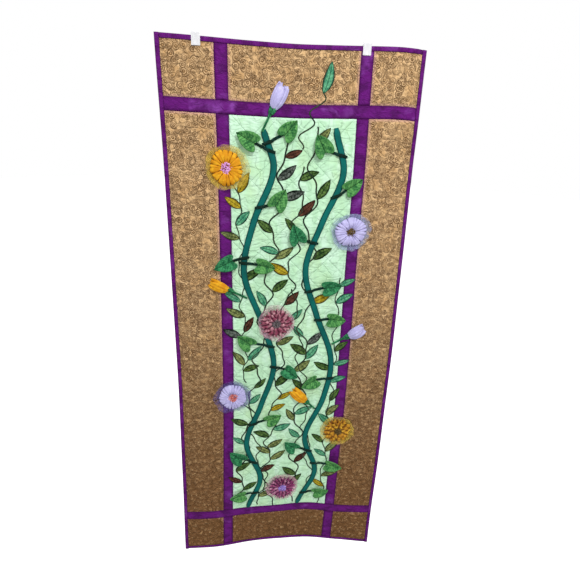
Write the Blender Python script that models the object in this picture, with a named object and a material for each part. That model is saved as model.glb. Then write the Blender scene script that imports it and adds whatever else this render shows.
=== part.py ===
"""A pieced and quilted wall hanging, held up by two white clips.

The frame is +Z up, with the origin in the middle of the top edge, where the
clips hold it. The cloth hangs down from there and faces -Y, so +X is to the
right of someone who looks at it. Everything is in metres.
"""
import math
import random

import bpy
import bmesh

# The quilt as it is cut and pieced
WIDTH = 0.671
HEIGHT = 1.650
BORDER = 0.137            # outer panels, up to the bound edge
SASH = 0.033              # plain strips between the panels
BINDING = 0.0115          # width of the folded strip round the edge
CELL = 0.047              # coarse step of the quilt's stations

# Thicknesses, all measured out from the middle of the cloth
CLEAR = 0.0004           # what every sewn-on piece keeps to its seat
STITCHED = 0.0016         # where a line of stitches holds the layers down
LOFT = 0.0019             # how far the batting rises between the stitches
TUCK = 0.0006             # how much flatter the quilt is inside its binding
FOLD = 0.0009             # thickness of the folded binding strip
TRIM = STITCHED + LOFT + CLEAR

# Trailing vines of folded bias tape, and what is sewn over them
VINE_WIDTH = 0.018
VINE_RISE = 0.0030
VINE_STEP = 0.027
STEM_WIDTH = 0.0088
STEM_RISE = 0.0030
OVER_VINE = TRIM + VINE_RISE + CLEAR
ON_STEM = TRIM + STEM_RISE + CLEAR
LEAF_THICK = 0.0016

# Gathered flowers: a net disc, a puffed round with pleats, and a tuft
PUFF_RADIUS = 0.044
PUFF_RISE = 0.0140
PLEATS = 16
NET_RADIUS = 0.061
NET_THICK = 0.0009
NET_WAVES = 5

# Hanging clips
CLIP_WIDTH = 0.021
CLIP_REACH = 0.022        # how far the jaws come down over the cloth
CLIP_PLATE = 0.0021
CLIP_RISE = 0.0085        # how far the clip stands above the top edge

# How the cloth hangs. Places across run from -1 at the left edge to 1 at the
# right edge, and places down run from 0 at the top edge to 1 at the hem.
# (place across, how far the hem swings forward)
HEM_FORWARD = ((-1.0, 0.001), (-0.67, 0.003), (-0.33, -0.009), (0.0, -0.010),
               (0.33, -0.008), (0.67, 0.019), (1.0, 0.040))
# (place across, how far the top edge rises)
TOP_RISE = ((-1.0, 0.002), (-0.71, 0.0), (-0.35, -0.0035), (0.0, -0.005),
            (0.25, -0.003), (0.53, 0.0), (0.78, 0.0025), (0.92, 0.001), (1.0, -0.002))
# (place down, how far the cloth leans to the right)
LEAN = ((0.0, 0.0), (0.2, 0.0048), (0.4, 0.0073), (0.6, 0.0085), (0.8, 0.0044), (1.0, 0.0))
# (height, turns across, turns down, start) of the soft ripples below the clips
RIPPLES = ((0.0026, 0.9, 1.3, 0.4), (0.0016, 1.7, 2.6, 2.1), (0.0010, 2.8, 4.1, 4.4))
RIPPLES_START = 0.16      # share of the height over which they grow

# (across, down) along each vine, from the top to its foot
VINES = {
    "vine_left": ((0.200, -0.078), (0.300, -0.052), (0.440, -0.104), (0.590, -0.132),
                  (0.740, -0.082), (0.900, -0.040), (1.050, -0.078), (1.200, -0.122),
                  (1.350, -0.072), (1.478, -0.112)),
    "vine_right": ((0.192, 0.112), (0.310, 0.138), (0.440, 0.088), (0.580, 0.046),
                   (0.720, 0.084), (0.880, 0.140), (1.030, 0.124), (1.180, 0.074),
                   (1.330, 0.118), (1.478, 0.064)),
}

# (name, across, down, seat, net shade, puff shade, tuft shade)
FLOWERS = (
    ("gold", -0.176, 0.300, TRIM, "net_yellow", "gold", "tuft_pink"),
    ("lilac", 0.170, 0.470, TRIM, "net_mist", "lilac", "tuft_brown"),
    ("rose", -0.036, 0.748, OVER_VINE, "net_pink", "rose", "tuft_grey"),
    ("violet", -0.168, 1.005, TRIM, "net_violet", "lilac", "tuft_red"),
    ("amber", 0.180, 1.150, TRIM, "net_yellow", "gold", "tuft_brown"),
    ("plum", 0.006, 1.388, TRIM, "net_pink", "rose", "tuft_lilac"),
)

# (name, vine, place down, side, heading, stem, length, width, bud shade)
# A heading is in degrees, 0 straight up and 90 to the right. Side 0 is the vine's top end.
BUDS = (
    ("top", "vine_left", 0.200, 0, 26.0, 0.034, 0.056, 0.038, "lilac"),
    ("left", "vine_left", 0.668, -1, -64.0, 0.042, 0.050, 0.034, "gold"),
    ("right", "vine_right", 0.828, 1, 60.0, 0.040, 0.046, 0.040, "lilac"),
    ("middle", "vine_right", 1.066, -1, -46.0, 0.028, 0.056, 0.038, "gold"),
)
CALYX_LENGTH = 0.020
BUD_FOOT = 0.0036         # how far a bud's stem starts from its vine

# (name, vine, place down, side, reach, rise, leaf heading, leaf length, leaf width)
LEAVES = (
    ("01", "vine_left", 0.252, -1, 0.048, 0.020, -62.0, 0.052, 0.048),
    ("02", "vine_left", 0.400, 1, 0.046, 0.010, 30.0, 0.054, 0.050),
    ("03", "vine_left", 0.545, -1, 0.042, -0.012, -115.0, 0.056, 0.046),
    ("04", "vine_left", 0.830, -1, 0.066, 0.014, -50.0, 0.052, 0.050),
    ("05", "vine_left", 1.120, 1, 0.054, 0.018, 62.0, 0.050, 0.046),
    ("06", "vine_left", 1.275, -1, 0.044, 0.020, -48.0, 0.056, 0.050),
    ("07", "vine_right", 0.262, -1, 0.050, 0.014, -28.0, 0.052, 0.050),
    ("08", "vine_right", 0.370, 1, 0.036, 0.022, 55.0, 0.050, 0.044),
    ("09", "vine_right", 0.650, 1, 0.054, 0.010, 80.0, 0.052, 0.048),
    ("10", "vine_right", 0.950, -1, 0.050, -0.008, -118.0, 0.052, 0.046),
    ("11", "vine_right", 1.292, 1, 0.052, -0.006, 100.0, 0.052, 0.046),
    ("12", "vine_right", 0.500, -1, 0.046, 0.012, -20.0, 0.052, 0.048),
)
# (share of the length along the rib, share of it that the edge lies back,
#  share of the half width, share of the length that the rib is lifted)
LEAF_FORM = ((0.00, 0.02, 0.10, 0.00), (0.04, 0.22, 0.56, 0.00), (0.16, 0.26, 0.92, 0.00),
             (0.36, 0.14, 1.00, 0.04), (0.62, 0.03, 0.76, 0.08), (0.86, 0.00, 0.34, 0.10),
             (1.00, 0.00, 0.05, 0.11))
LEAF_CUP = 0.26           # how steeply the two halves rise from the rib
LEAF_OVER = 0.14          # share of the leaf's length that covers its stem's end

CLIPS = {"clip_left": -0.2395, "clip_right": 0.1790}

# name: (colour, roughness) of each material
SHADES = {
    "quilted_cotton": ((0.46, 0.30, 0.15), 0.9),
    "binding_purple": ((0.14, 0.01, 0.19), 0.85),
    "bias_teal": ((0.0, 0.16, 0.14), 0.8),
    "stem_dark": ((0.01, 0.035, 0.02), 0.85),
    "leaf_green": ((0.06, 0.26, 0.07), 0.85),
    "calyx_green": ((0.05, 0.11, 0.03), 0.85),
    "lilac": ((0.60, 0.50, 0.90), 0.8),
    "gold": ((0.85, 0.42, 0.03), 0.75),
    "rose": ((0.45, 0.10, 0.18), 0.75),
    "net_yellow": ((0.80, 0.65, 0.10), 0.7),
    "net_mist": ((0.45, 0.55, 0.72), 0.7),
    "net_pink": ((0.75, 0.40, 0.48), 0.7),
    "net_violet": ((0.25, 0.22, 0.50), 0.7),
    "tuft_pink": ((0.75, 0.35, 0.60), 0.85),
    "tuft_brown": ((0.16, 0.08, 0.02), 0.85),
    "tuft_grey": ((0.16, 0.12, 0.12), 0.85),
    "tuft_red": ((0.60, 0.10, 0.07), 0.85),
    "tuft_lilac": ((0.35, 0.25, 0.65), 0.85),
    "clip_white": ((0.90, 0.90, 0.92), 0.35),
}


def clear_scene():
    for item in list(bpy.data.objects):
        bpy.data.objects.remove(item, do_unlink=True)


def shade(name):
    """The Principled material of that name, made once."""
    material = bpy.data.materials.get(name)
    if material is None:
        colour, roughness = SHADES[name]
        material = bpy.data.materials.new(name)
        material.use_nodes = True
        principled = material.node_tree.nodes["Principled BSDF"]
        principled.inputs["Base Color"].default_value = (*colour, 1.0)
        principled.inputs["Roughness"].default_value = roughness
    return material


def finish(name, bm, material):
    """Close the mesh, face it outwards and make it the named object."""
    bmesh.ops.recalc_face_normals(bm, faces=bm.faces)
    bmesh.ops.triangulate(bm, faces=bm.faces)
    mesh = bpy.data.meshes.new(name)
    bm.to_mesh(mesh)
    bm.free()
    mesh.materials.append(shade(material))
    made = bpy.data.objects.new(name, mesh)
    bpy.context.scene.collection.objects.link(made)
    return made


def between(rows, at):
    """The value at a place in (place, value) rows, on a smooth curve through them."""
    last = len(rows) - 1
    i = min(last - 1, max(0, sum(place <= at for place, _ in rows) - 1))
    before, here, there, after = (rows[min(last, max(0, i + k))][1] for k in (-1, 0, 1, 2))
    t = min(1.0, max(0.0, (at - rows[i][0]) / (rows[i + 1][0] - rows[i][0])))
    bend = 2 * before - 5 * here + 4 * there - after
    turn = 3 * here - before - 3 * there + after
    return here + 0.5 * t * ((there - before) + t * (bend + t * turn))


def cloth(across, down, out):
    """A point at a place on the hanging cloth, so far out from its middle."""
    u, w = 2 * across / WIDTH, down / HEIGHT
    forward = between(HEM_FORWARD, u) * w * w
    grown = min(1.0, w / RIPPLES_START) ** 2
    for height, turns_across, turns_down, start in RIPPLES:
        forward += grown * height * math.sin(math.pi * (turns_across * u + 2 * turns_down * w) + start)
    return (across + between(LEAN, w), -forward - out, between(TOP_RISE, u) * (1 - w) - down)


def steps(start, end, count):
    return [start + (end - start) * k / count for k in range(count + 1)]


def stations(length, inset):
    """Places along one side: edge, binding, panel, sash, middle, sash, panel, edge."""
    half = length / 2
    seam, strip = half - BORDER, half - BORDER - SASH
    panel = round((BORDER - BINDING) / CELL)
    middle = round(2 * strip / CELL)
    places = [-half + inset] + steps(-half + BINDING, -seam, panel)
    places += steps(-strip, strip, middle) + steps(seam, half - BINDING, panel) + [half - inset]
    return places


ACROSS = stations(WIDTH, FOLD + CLEAR)
DOWN = [place + HEIGHT / 2 for place in stations(HEIGHT, FOLD + CLEAR)]
MIDDLE_HALF = WIDTH / 2 - BORDER - SASH


def quilting(across, down, chance):
    """How far the batting rises at a place, down to 0 along stitches and seams."""
    from_side = WIDTH / 2 - abs(across)
    from_end = min(down, HEIGHT - down)
    near = min(abs(from_side - BORDER), abs(from_side - BORDER - SASH))
    along = min(abs(from_end - BORDER), abs(from_end - BORDER - SASH))
    if from_side < BINDING + TUCK or from_end < BINDING + TUCK:
        return -TUCK
    if min(near, along) < TUCK:
        return 0.0
    if from_side > BORDER + SASH and from_end > BORDER + SASH:
        lattice = 2 * MIDDLE_HALF / 3
        lines = [((across + s * down) / lattice) % 1.0 for s in (-1, 1)]
        from_line = min(min(line, 1 - line) for line in lines)
        return LOFT * min(1.0, 5 * from_line) * (0.75 + 0.25 * chance)
    if BORDER < from_side < BORDER + SASH or BORDER < from_end < BORDER + SASH:
        return LOFT * 0.8
    return LOFT * chance


def quilt():
    """Pieced top, batting and backing, stitched through into one slab."""
    bm = bmesh.new()
    columns, rows = len(ACROSS), len(DOWN)
    bmesh.ops.create_grid(bm, x_segments=columns - 1, y_segments=rows - 1, size=0.5)
    for vertex in bm.verts:
        column = round((vertex.co.x + 0.5) * (columns - 1))
        row = round((vertex.co.y + 0.5) * (rows - 1))
        vertex.co = (ACROSS[column], DOWN[row], 0.0)
    front = list(bm.faces)
    sewn = bmesh.ops.extrude_face_region(bm, geom=front, use_keep_orig=True)
    for item in sewn["geom"]:
        if isinstance(item, bmesh.types.BMVert):
            item.co.z = 1.0
    inner_side, inner_end = WIDTH / 2 - BINDING, BINDING - TUCK
    open_faces = [f for f in bm.faces if f.calc_center_median().z < TUCK
                  and abs(f.calc_center_median().x) < inner_side
                  and inner_end < f.calc_center_median().y < HEIGHT - inner_end]
    edges = list({edge for face in open_faces for edge in face.edges})
    bmesh.ops.subdivide_edges(bm, edges=edges, cuts=1, use_grid_fill=True)
    draw = random.Random(7)
    for vertex in sorted(bm.verts, key=lambda v: (v.co.z, v.co.y, v.co.x)):
        across, down, back = vertex.co
        if back > 0.5:
            out = -STITCHED
        else:
            out = STITCHED + quilting(across, down, 0.15 + 0.85 * draw.random())
        vertex.co = cloth(across, down, out)
    return finish("quilt", bm, "quilted_cotton")


def sweep(name, rings, material):
    """One closed solid through rings of points, capped at both ends."""
    bm = bmesh.new()
    loops = [[bm.verts.new(point) for point in ring] for ring in rings]
    count = len(loops[0])
    for here, there in zip(loops, loops[1:]):
        for k in range(count):
            after = (k + 1) % count
            bm.faces.new((here[k], here[after], there[after], there[k]))
    bm.faces.new(loops[0])
    bm.faces.new(loops[-1])
    return finish(name, bm, material)


def binding():
    """Four strips of folded cloth round the edge, each gripping the quilt."""
    outer = STITCHED + CLEAR + FOLD
    inner = STITCHED + CLEAR
    # (in from the edge, out from the middle) round the folded strip
    section = ((0.0, 0.6 * outer), (0.2 * BINDING, outer), (BINDING, outer), (BINDING, inner),
               (FOLD, inner), (FOLD, -inner), (BINDING, -inner), (BINDING, -outer),
               (0.2 * BINDING, -outer), (0.0, -0.6 * outer))
    side_places = [0.0] + DOWN[1:-1] + [HEIGHT]
    end = WIDTH / 2 - BINDING - CLEAR
    end_places = [-end] + ACROSS[2:-2] + [end]
    for name, side in (("binding_left", -1), ("binding_right", 1)):
        sweep(name, [[cloth(side * (WIDTH / 2 - inward), down, out) for inward, out in section]
                     for down in side_places], "binding_purple")
    for name, edge, way in (("binding_top", 0.0, 1), ("binding_bottom", HEIGHT, -1)):
        sweep(name, [[cloth(across, edge + way * inward, out) for inward, out in section]
                     for across in end_places], "binding_purple")


def tape(name, path, width, rise, material):
    """A flat tube of folded cloth: path rows are (across, down, seat)."""
    dome = ((-0.5, 0.12), (-0.32, 0.8), (0.0, 1.0), (0.32, 0.8), (0.5, 0.12), (0.4, 0.0), (-0.4, 0.0))
    rings = []
    for k, (across, down, seat) in enumerate(path):
        before, after = path[max(0, k - 1)], path[min(len(path) - 1, k + 1)]
        run = math.hypot(after[0] - before[0], after[1] - before[1])
        side_across, side_down = (after[1] - before[1]) / run, (before[0] - after[0]) / run
        rings.append([cloth(across + side * width * side_across, down + side * width * side_down,
                            seat + up * rise) for side, up in dome])
    return sweep(name, rings, material)


def vines():
    for name, rows in VINES.items():
        top, foot = rows[0][0], rows[-1][0]
        places = steps(top, foot, round((foot - top) / VINE_STEP))
        tape(name, [(between(rows, down), down, TRIM) for down in places],
             VINE_WIDTH, VINE_RISE, "bias_teal")


def heading_frame(across, down, heading):
    """Turns (along, aside) into (across, down) from a foot, for a heading in degrees."""
    lean = math.radians(heading)
    ahead = (math.sin(lean), -math.cos(lean))

    def place(along, aside):
        return (across + along * ahead[0] - aside * ahead[1], down + along * ahead[1] + aside * ahead[0])
    return place


def leaves():
    """Stuffed leaves, each on a dark stem that crosses over its vine."""
    for name, vine, down, side, reach, rise, heading, length, width in LEAVES:
        middle = between(VINES[vine], down)
        half = VINE_WIDTH / 2
        # (distance from the middle of the vine, share of the rise, seat)
        route = ((-1.5 * half, -0.2, OVER_VINE - 0.3 * VINE_RISE), (-1.1 * half, -0.15, OVER_VINE),
                 (0.0, 0.0, OVER_VINE), (1.1 * half, 0.15, OVER_VINE),
                 (2.0 * half, 0.4, TRIM), (reach, 1.0, TRIM))
        tape(f"stem_{name}", [(middle + side * far, down - share * rise, seat)
                              for far, share, seat in route], STEM_WIDTH, STEM_RISE, "stem_dark")
        stem_end = heading_frame(middle + side * reach, down - rise, heading)
        place = heading_frame(*stem_end(-LEAF_OVER * length, 0.0), heading)
        seat = ON_STEM + LEAF_THICK / 2
        rings = []
        for along, back, spread, lift in LEAF_FORM:
            rib = seat + lift * length
            wing = spread * width / 2
            edge = rib + LEAF_CUP * wing
            left = place((along - back) * length, -wing)
            right = place((along - back) * length, wing)
            centre = place(along * length, 0.0)
            rings.append([cloth(*left, edge), cloth(*centre, rib + LEAF_THICK / 2),
                          cloth(*right, edge), cloth(*centre, rib - LEAF_THICK / 2)])
        sweep(f"leaf_{name}", rings, "leaf_green")


def turned(name, across, down, count, rings, material):
    """A closed form of (radius, out) rings round a place, its ends at the middle."""
    bm = bmesh.new()
    back, front = rings[0], rings[-1]
    tip_back = bm.verts.new(cloth(across, down, back))
    tip_front = bm.verts.new(cloth(across, down, front))
    loops = []
    for ring in rings[1:-1]:
        loop = []
        for k in range(count):
            angle = math.tau * k / count
            radius, out = ring(angle)
            loop.append(bm.verts.new(cloth(across + radius * math.sin(angle),
                                           down - radius * math.cos(angle), out)))
        loops.append(loop)
    for k in range(count):
        after = (k + 1) % count
        bm.faces.new((tip_back, loops[0][k], loops[0][after]))
        for here, there in zip(loops, loops[1:]):
            bm.faces.new((here[k], here[after], there[after], there[k]))
        bm.faces.new((tip_front, loops[-1][after], loops[-1][k]))
    return finish(name, bm, material)


def flowers():
    for name, across, down, seat, net, puff, tuft in FLOWERS:
        start = 40 * across + 9 * down

        def wave(angle, share):
            return share * 0.0035 * (1 + math.sin(NET_WAVES * angle + start))

        flat = PUFF_RADIUS
        turned(f"net_{name}", across, down, 20, (
            seat,
            lambda a: (flat, seat),
            lambda a: (NET_RADIUS, seat + wave(a, 1)),
            lambda a: (NET_RADIUS, seat + NET_THICK + wave(a, 1)),
            lambda a: (flat, seat + NET_THICK),
            seat + NET_THICK), net)

        base = seat + NET_THICK + CLEAR

        def pleat(angle):
            return math.cos(PLEATS * angle)

        turned(f"puff_{name}", across, down, 2 * PLEATS, (
            base,
            lambda a: (0.88 * PUFF_RADIUS, base),
            lambda a: (PUFF_RADIUS * (0.97 + 0.03 * pleat(a)), base + 0.40 * PUFF_RISE),
            lambda a: (0.78 * PUFF_RADIUS, base + (0.90 + 0.10 * pleat(a)) * PUFF_RISE),
            lambda a: (0.30 * PUFF_RADIUS, base + (0.56 + 0.06 * pleat(a)) * PUFF_RISE),
            base + 0.40 * PUFF_RISE), puff)

        nest = base + 0.62 * PUFF_RISE + CLEAR
        turned(f"tuft_{name}", across, down, 10, (
            nest,
            lambda a: (0.24 * PUFF_RADIUS, nest),
            lambda a: (0.27 * PUFF_RADIUS, nest + 0.0025),
            lambda a: (0.16 * PUFF_RADIUS, nest + 0.0060),
            nest + 0.0070), tuft)


def rounded(place, along, half_width, low, high, count):
    """A ring of points round a lying form, at one distance along it."""
    ring = []
    for k in range(count):
        angle = math.tau * k / count
        up = 0.5 - 0.5 * math.cos(angle)
        ring.append(cloth(*place(along, half_width * math.sin(angle)), low + up * (high - low)))
    return ring


def buds():
    """Closed flowers: a gathered bud in a green calyx on a short stem."""
    # (share of the length, share of the half width, share of the height)
    bud_form = ((0.0, 0.42, 0.50), (0.16, 0.72, 0.78), (0.45, 1.0, 1.0), (0.72, 0.86, 0.86),
                (0.92, 0.52, 0.5), (1.0, 0.2, 0.22))
    # (lengths of the stem, lengths of the calyx, half width, height)
    calyx_form = ((0.0, 0.0, 0.0030, 0.0040), (1.0, 0.0, 0.0032, 0.0042),
                  (1.0, 0.3, 0.0062, 0.0066), (1.0, 1.0, 0.0090, 0.0094))
    for name, vine, down, side, heading, stem, length, width, colour in BUDS:
        start = between(VINES[vine], down) + side * (VINE_WIDTH / 2 + BUD_FOOT)
        place = heading_frame(start, down - (1 - abs(side)) * BUD_FOOT, heading)
        sweep(f"calyx_{name}", [rounded(place, stems * stem + cups * CALYX_LENGTH, half,
                                        TRIM, TRIM + height, 8)
                                for stems, cups, half, height in calyx_form], "calyx_green")
        foot = stem + CALYX_LENGTH + CLEAR
        sweep(f"bud_{name}", [rounded(place, foot + share * length, spread * width / 2, TRIM,
                                      TRIM + height * 0.45 * width, 10)
                              for share, spread, height in bud_form], colour)


def clips():
    """Plain plastic clips that grip the bound top edge."""
    grip = STITCHED + CLEAR + FOLD + CLEAR
    outer = grip + CLIP_PLATE
    for name, across in CLIPS.items():
        x, y, z = cloth(across, 0.0, 0.0)
        # The top edge slopes, so the roof clears the highest point of it under the clip
        ends = [cloth(across + way * CLIP_WIDTH / 2, 0.0, 0.0)[2] for way in (-1, 1)]
        roof = max(ends) - z + CLEAR
        # (out, up) round the side of a clip
        side = ((-outer, -CLIP_REACH), (-outer, CLIP_RISE), (outer, CLIP_RISE), (outer, -CLIP_REACH),
                (grip, -CLIP_REACH), (grip, roof), (-grip, roof), (-grip, -CLIP_REACH))
        sweep(name, [[(x + way * CLIP_WIDTH / 2, y - out, z + up) for out, up in side]
                     for way in (-1, 1)], "clip_white")


def main():
    clear_scene()
    quilt()
    binding()
    vines()
    leaves()
    flowers()
    buds()
    clips()


main()
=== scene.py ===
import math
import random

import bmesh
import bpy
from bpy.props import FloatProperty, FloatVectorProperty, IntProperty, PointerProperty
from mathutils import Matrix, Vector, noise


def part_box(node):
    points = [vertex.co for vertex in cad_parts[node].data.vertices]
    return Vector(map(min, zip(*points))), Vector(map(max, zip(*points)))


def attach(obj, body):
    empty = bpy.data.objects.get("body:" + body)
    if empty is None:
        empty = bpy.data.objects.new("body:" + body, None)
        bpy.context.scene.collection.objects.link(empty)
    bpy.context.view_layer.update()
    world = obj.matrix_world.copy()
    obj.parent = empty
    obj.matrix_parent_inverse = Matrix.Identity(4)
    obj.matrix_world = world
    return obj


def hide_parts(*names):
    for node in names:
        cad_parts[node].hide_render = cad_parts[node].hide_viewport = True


bl_info = {
    "name": "Quilted wall hanging",
    "version": (1, 0, 0),
    "blender": (4, 5, 0),
    "location": "3D View > Sidebar > Hanging",
    "description": "Sews a pieced and quilted wall hanging with vines, leaves and gathered flowers",
    "category": "Add Mesh",
}

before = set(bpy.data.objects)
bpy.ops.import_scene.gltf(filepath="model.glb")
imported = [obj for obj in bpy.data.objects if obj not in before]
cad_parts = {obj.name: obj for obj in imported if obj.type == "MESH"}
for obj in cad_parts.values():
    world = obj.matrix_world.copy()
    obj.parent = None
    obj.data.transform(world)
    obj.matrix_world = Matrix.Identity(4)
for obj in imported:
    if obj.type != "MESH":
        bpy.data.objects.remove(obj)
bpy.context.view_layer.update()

BODY = "root"

# The quilt's own sizes, in metres, as its solids have them
WIDTH = 0.671
HEIGHT = 1.650
BORDER = 0.137            # outer panels, up to the bound edge
SASH = 0.033              # plain strips between the panels
BINDING = 0.0115          # width of the folded strip round the edge
CLEAR = 0.0004            # what a sewn-on piece keeps to its seat
STITCHED = 0.0016         # from the middle of the cloth to a line of stitches
LOFT = 0.0019             # how far the batting rises between the stitches
TUCK = 0.0006             # how much flatter the quilt is inside its binding
FOLD = 0.0009             # thickness of the folded binding strip
PUCKER_PITCH = 0.008      # from one pucker of the binding to the next, or so
STIPPLE = 0.0115          # one turn of the wandering stitches
TRIM = STITCHED + LOFT + CLEAR
SUNK = 0.0005             # how far a vine's tape sinks into the cloth
VINE_WIDTH = 0.018
VINE_RISE = 0.0030
STEM_WIDTH = 0.0088
STEM_RISE = 0.0030
OVER_VINE = TRIM + VINE_RISE + CLEAR
ON_STEM = TRIM + STEM_RISE + CLEAR
LEAF_THICK = 0.0016
PUFF_RADIUS = 0.044
PUFF_RISE = 0.0140
NET_RADIUS = 0.061
NET_THICK = 0.0009
CALYX_LENGTH = 0.020
BUD_FOOT = 0.0036
BUD_SUNK = 0.004          # how far a bud sits down in its calyx
BUD_PLEATS = 11
BUD_SIDES = 90            # points round a bud
CALYX_SIDES = 24
LEAF_CUP = 0.26           # how steeply a stuffed leaf's sides rise
LEAF_OVER = 0.14          # share of a stuffed leaf's length that lies over its stem's end
VEIN_PITCH = 0.0085       # from one side vein of a leaf to the next
VEIN_SLOPE = 0.75         # how far a vein runs ahead for each step aside
CLIP_SLOT = 0.0224        # from a clip's lip up to the roof of its slot
CLIP_TEETH = 11
SAME_PLACE = 1e-7         # points nearer than this are joined
MIDDLE_HALF = WIDTH / 2 - BORDER - SASH

# How the cloth hangs, with places across from -1 to 1 and places down from 0 to 1
# (place across, how far the hem swings forward)
HEM_FORWARD = ((-1.0, 0.001), (-0.67, 0.003), (-0.33, -0.009), (0.0, -0.010),
               (0.33, -0.008), (0.67, 0.019), (1.0, 0.040))
# (place across, how far the top edge rises)
TOP_RISE = ((-1.0, 0.002), (-0.71, 0.0), (-0.35, -0.0035), (0.0, -0.005),
            (0.25, -0.003), (0.53, 0.0), (0.78, 0.0025), (0.92, 0.001), (1.0, -0.002))
# (place down, how far the cloth leans to the right)
LEAN = ((0.0, 0.0), (0.2, 0.0048), (0.4, 0.0073), (0.6, 0.0085), (0.8, 0.0044), (1.0, 0.0))
# (height, turns across, turns down, start) of the soft ripples below the clips
RIPPLES = ((0.0026, 0.9, 1.3, 0.4), (0.0016, 1.7, 2.6, 2.1), (0.0010, 2.8, 4.1, 4.4))
RIPPLES_START = 0.16

# (down, across) along each vine, from the top to its foot
VINES = {
    "vine_left": ((0.200, -0.078), (0.300, -0.052), (0.440, -0.104), (0.590, -0.132),
                  (0.740, -0.082), (0.900, -0.040), (1.050, -0.078), (1.200, -0.122),
                  (1.350, -0.072), (1.478, -0.112)),
    "vine_right": ((0.192, 0.112), (0.310, 0.138), (0.440, 0.088), (0.580, 0.046),
                   (0.720, 0.084), (0.880, 0.140), (1.030, 0.124), (1.180, 0.074),
                   (1.330, 0.118), (1.478, 0.064)),
}
# (name, across, down, seat, form, pleats, net shade, cloth shade, tuft shade)
FLOWERS = (
    ("gold", -0.176, 0.300, TRIM, "round", 21, "net_yellow", "gold", "tuft_pink"),
    ("lilac", 0.170, 0.470, TRIM, "round", 26, "net_mist", "lilac", "tuft_brown"),
    ("rose", -0.036, 0.748, OVER_VINE, "ruffle", 15, "net_pink", "rose", "tuft_grey"),
    ("violet", -0.168, 1.005, TRIM, "round", 24, "net_violet", "lilac", "tuft_red"),
    ("amber", 0.180, 1.150, TRIM, "ruffle", 12, "net_yellow", "amber", "tuft_brown"),
    ("plum", 0.006, 1.388, TRIM, "ruffle", 17, "net_pink", "plum", "tuft_lilac"),
)
# (name, vine, place down, side, heading, stem, length, width, cloth shade)
BUDS = (
    ("top", "vine_left", 0.200, 0, 26.0, 0.034, 0.056, 0.038, "lilac"),
    ("left", "vine_left", 0.668, -1, -64.0, 0.042, 0.050, 0.034, "gold"),
    ("right", "vine_right", 0.828, 1, 60.0, 0.040, 0.046, 0.040, "lilac"),
    ("middle", "vine_right", 1.066, -1, -46.0, 0.028, 0.056, 0.038, "gold"),
)
# (name, vine, place down, side, reach, rise, leaf heading, leaf length, leaf width)
LEAVES = (
    ("01", "vine_left", 0.252, -1, 0.048, 0.020, -62.0, 0.052, 0.048),
    ("02", "vine_left", 0.400, 1, 0.046, 0.010, 30.0, 0.054, 0.050),
    ("03", "vine_left", 0.545, -1, 0.042, -0.012, -115.0, 0.056, 0.046),
    ("04", "vine_left", 0.830, -1, 0.066, 0.014, -50.0, 0.052, 0.050),
    ("05", "vine_left", 1.120, 1, 0.054, 0.018, 62.0, 0.050, 0.046),
    ("06", "vine_left", 1.275, -1, 0.044, 0.020, -48.0, 0.056, 0.050),
    ("07", "vine_right", 0.262, -1, 0.050, 0.014, -28.0, 0.052, 0.050),
    ("08", "vine_right", 0.370, 1, 0.036, 0.022, 55.0, 0.050, 0.044),
    ("09", "vine_right", 0.650, 1, 0.054, 0.010, 80.0, 0.052, 0.048),
    ("10", "vine_right", 0.950, -1, 0.050, -0.008, -118.0, 0.052, 0.046),
    ("11", "vine_right", 1.292, 1, 0.052, -0.006, 100.0, 0.052, 0.046),
    ("12", "vine_right", 0.500, -1, 0.046, 0.012, -20.0, 0.052, 0.048),
)
# Leaves beyond the ones that have solids, in the same form
MORE_LEAVES = (
    ("13", "vine_left", 0.232, 1, 0.048, 0.024, 40.0, 0.050, 0.046),
    ("14", "vine_left", 0.560, 1, 0.046, -0.006, 100.0, 0.050, 0.046),
    ("15", "vine_left", 0.905, 1, 0.042, -0.012, 128.0, 0.048, 0.044),
    ("16", "vine_left", 1.410, -1, 0.046, -0.006, -96.0, 0.050, 0.044),
    ("17", "vine_right", 0.745, 1, 0.040, 0.002, 92.0, 0.050, 0.046),
    ("18", "vine_right", 1.235, -1, 0.050, 0.016, -50.0, 0.050, 0.046),
    ("19", "vine_right", 1.425, 1, 0.046, 0.004, 70.0, 0.050, 0.044),
)
# (share of the length along the rib, share of it that the edge lies back,
#  share of the half width, share of the length that the rib is lifted)
LEAF_FORM = ((0.00, 0.02, 0.10, 0.00), (0.04, 0.22, 0.56, 0.00), (0.16, 0.26, 0.92, 0.00),
             (0.36, 0.14, 1.00, 0.04), (0.62, 0.03, 0.76, 0.08), (0.86, 0.00, 0.34, 0.10),
             (1.00, 0.00, 0.05, 0.11))

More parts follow.
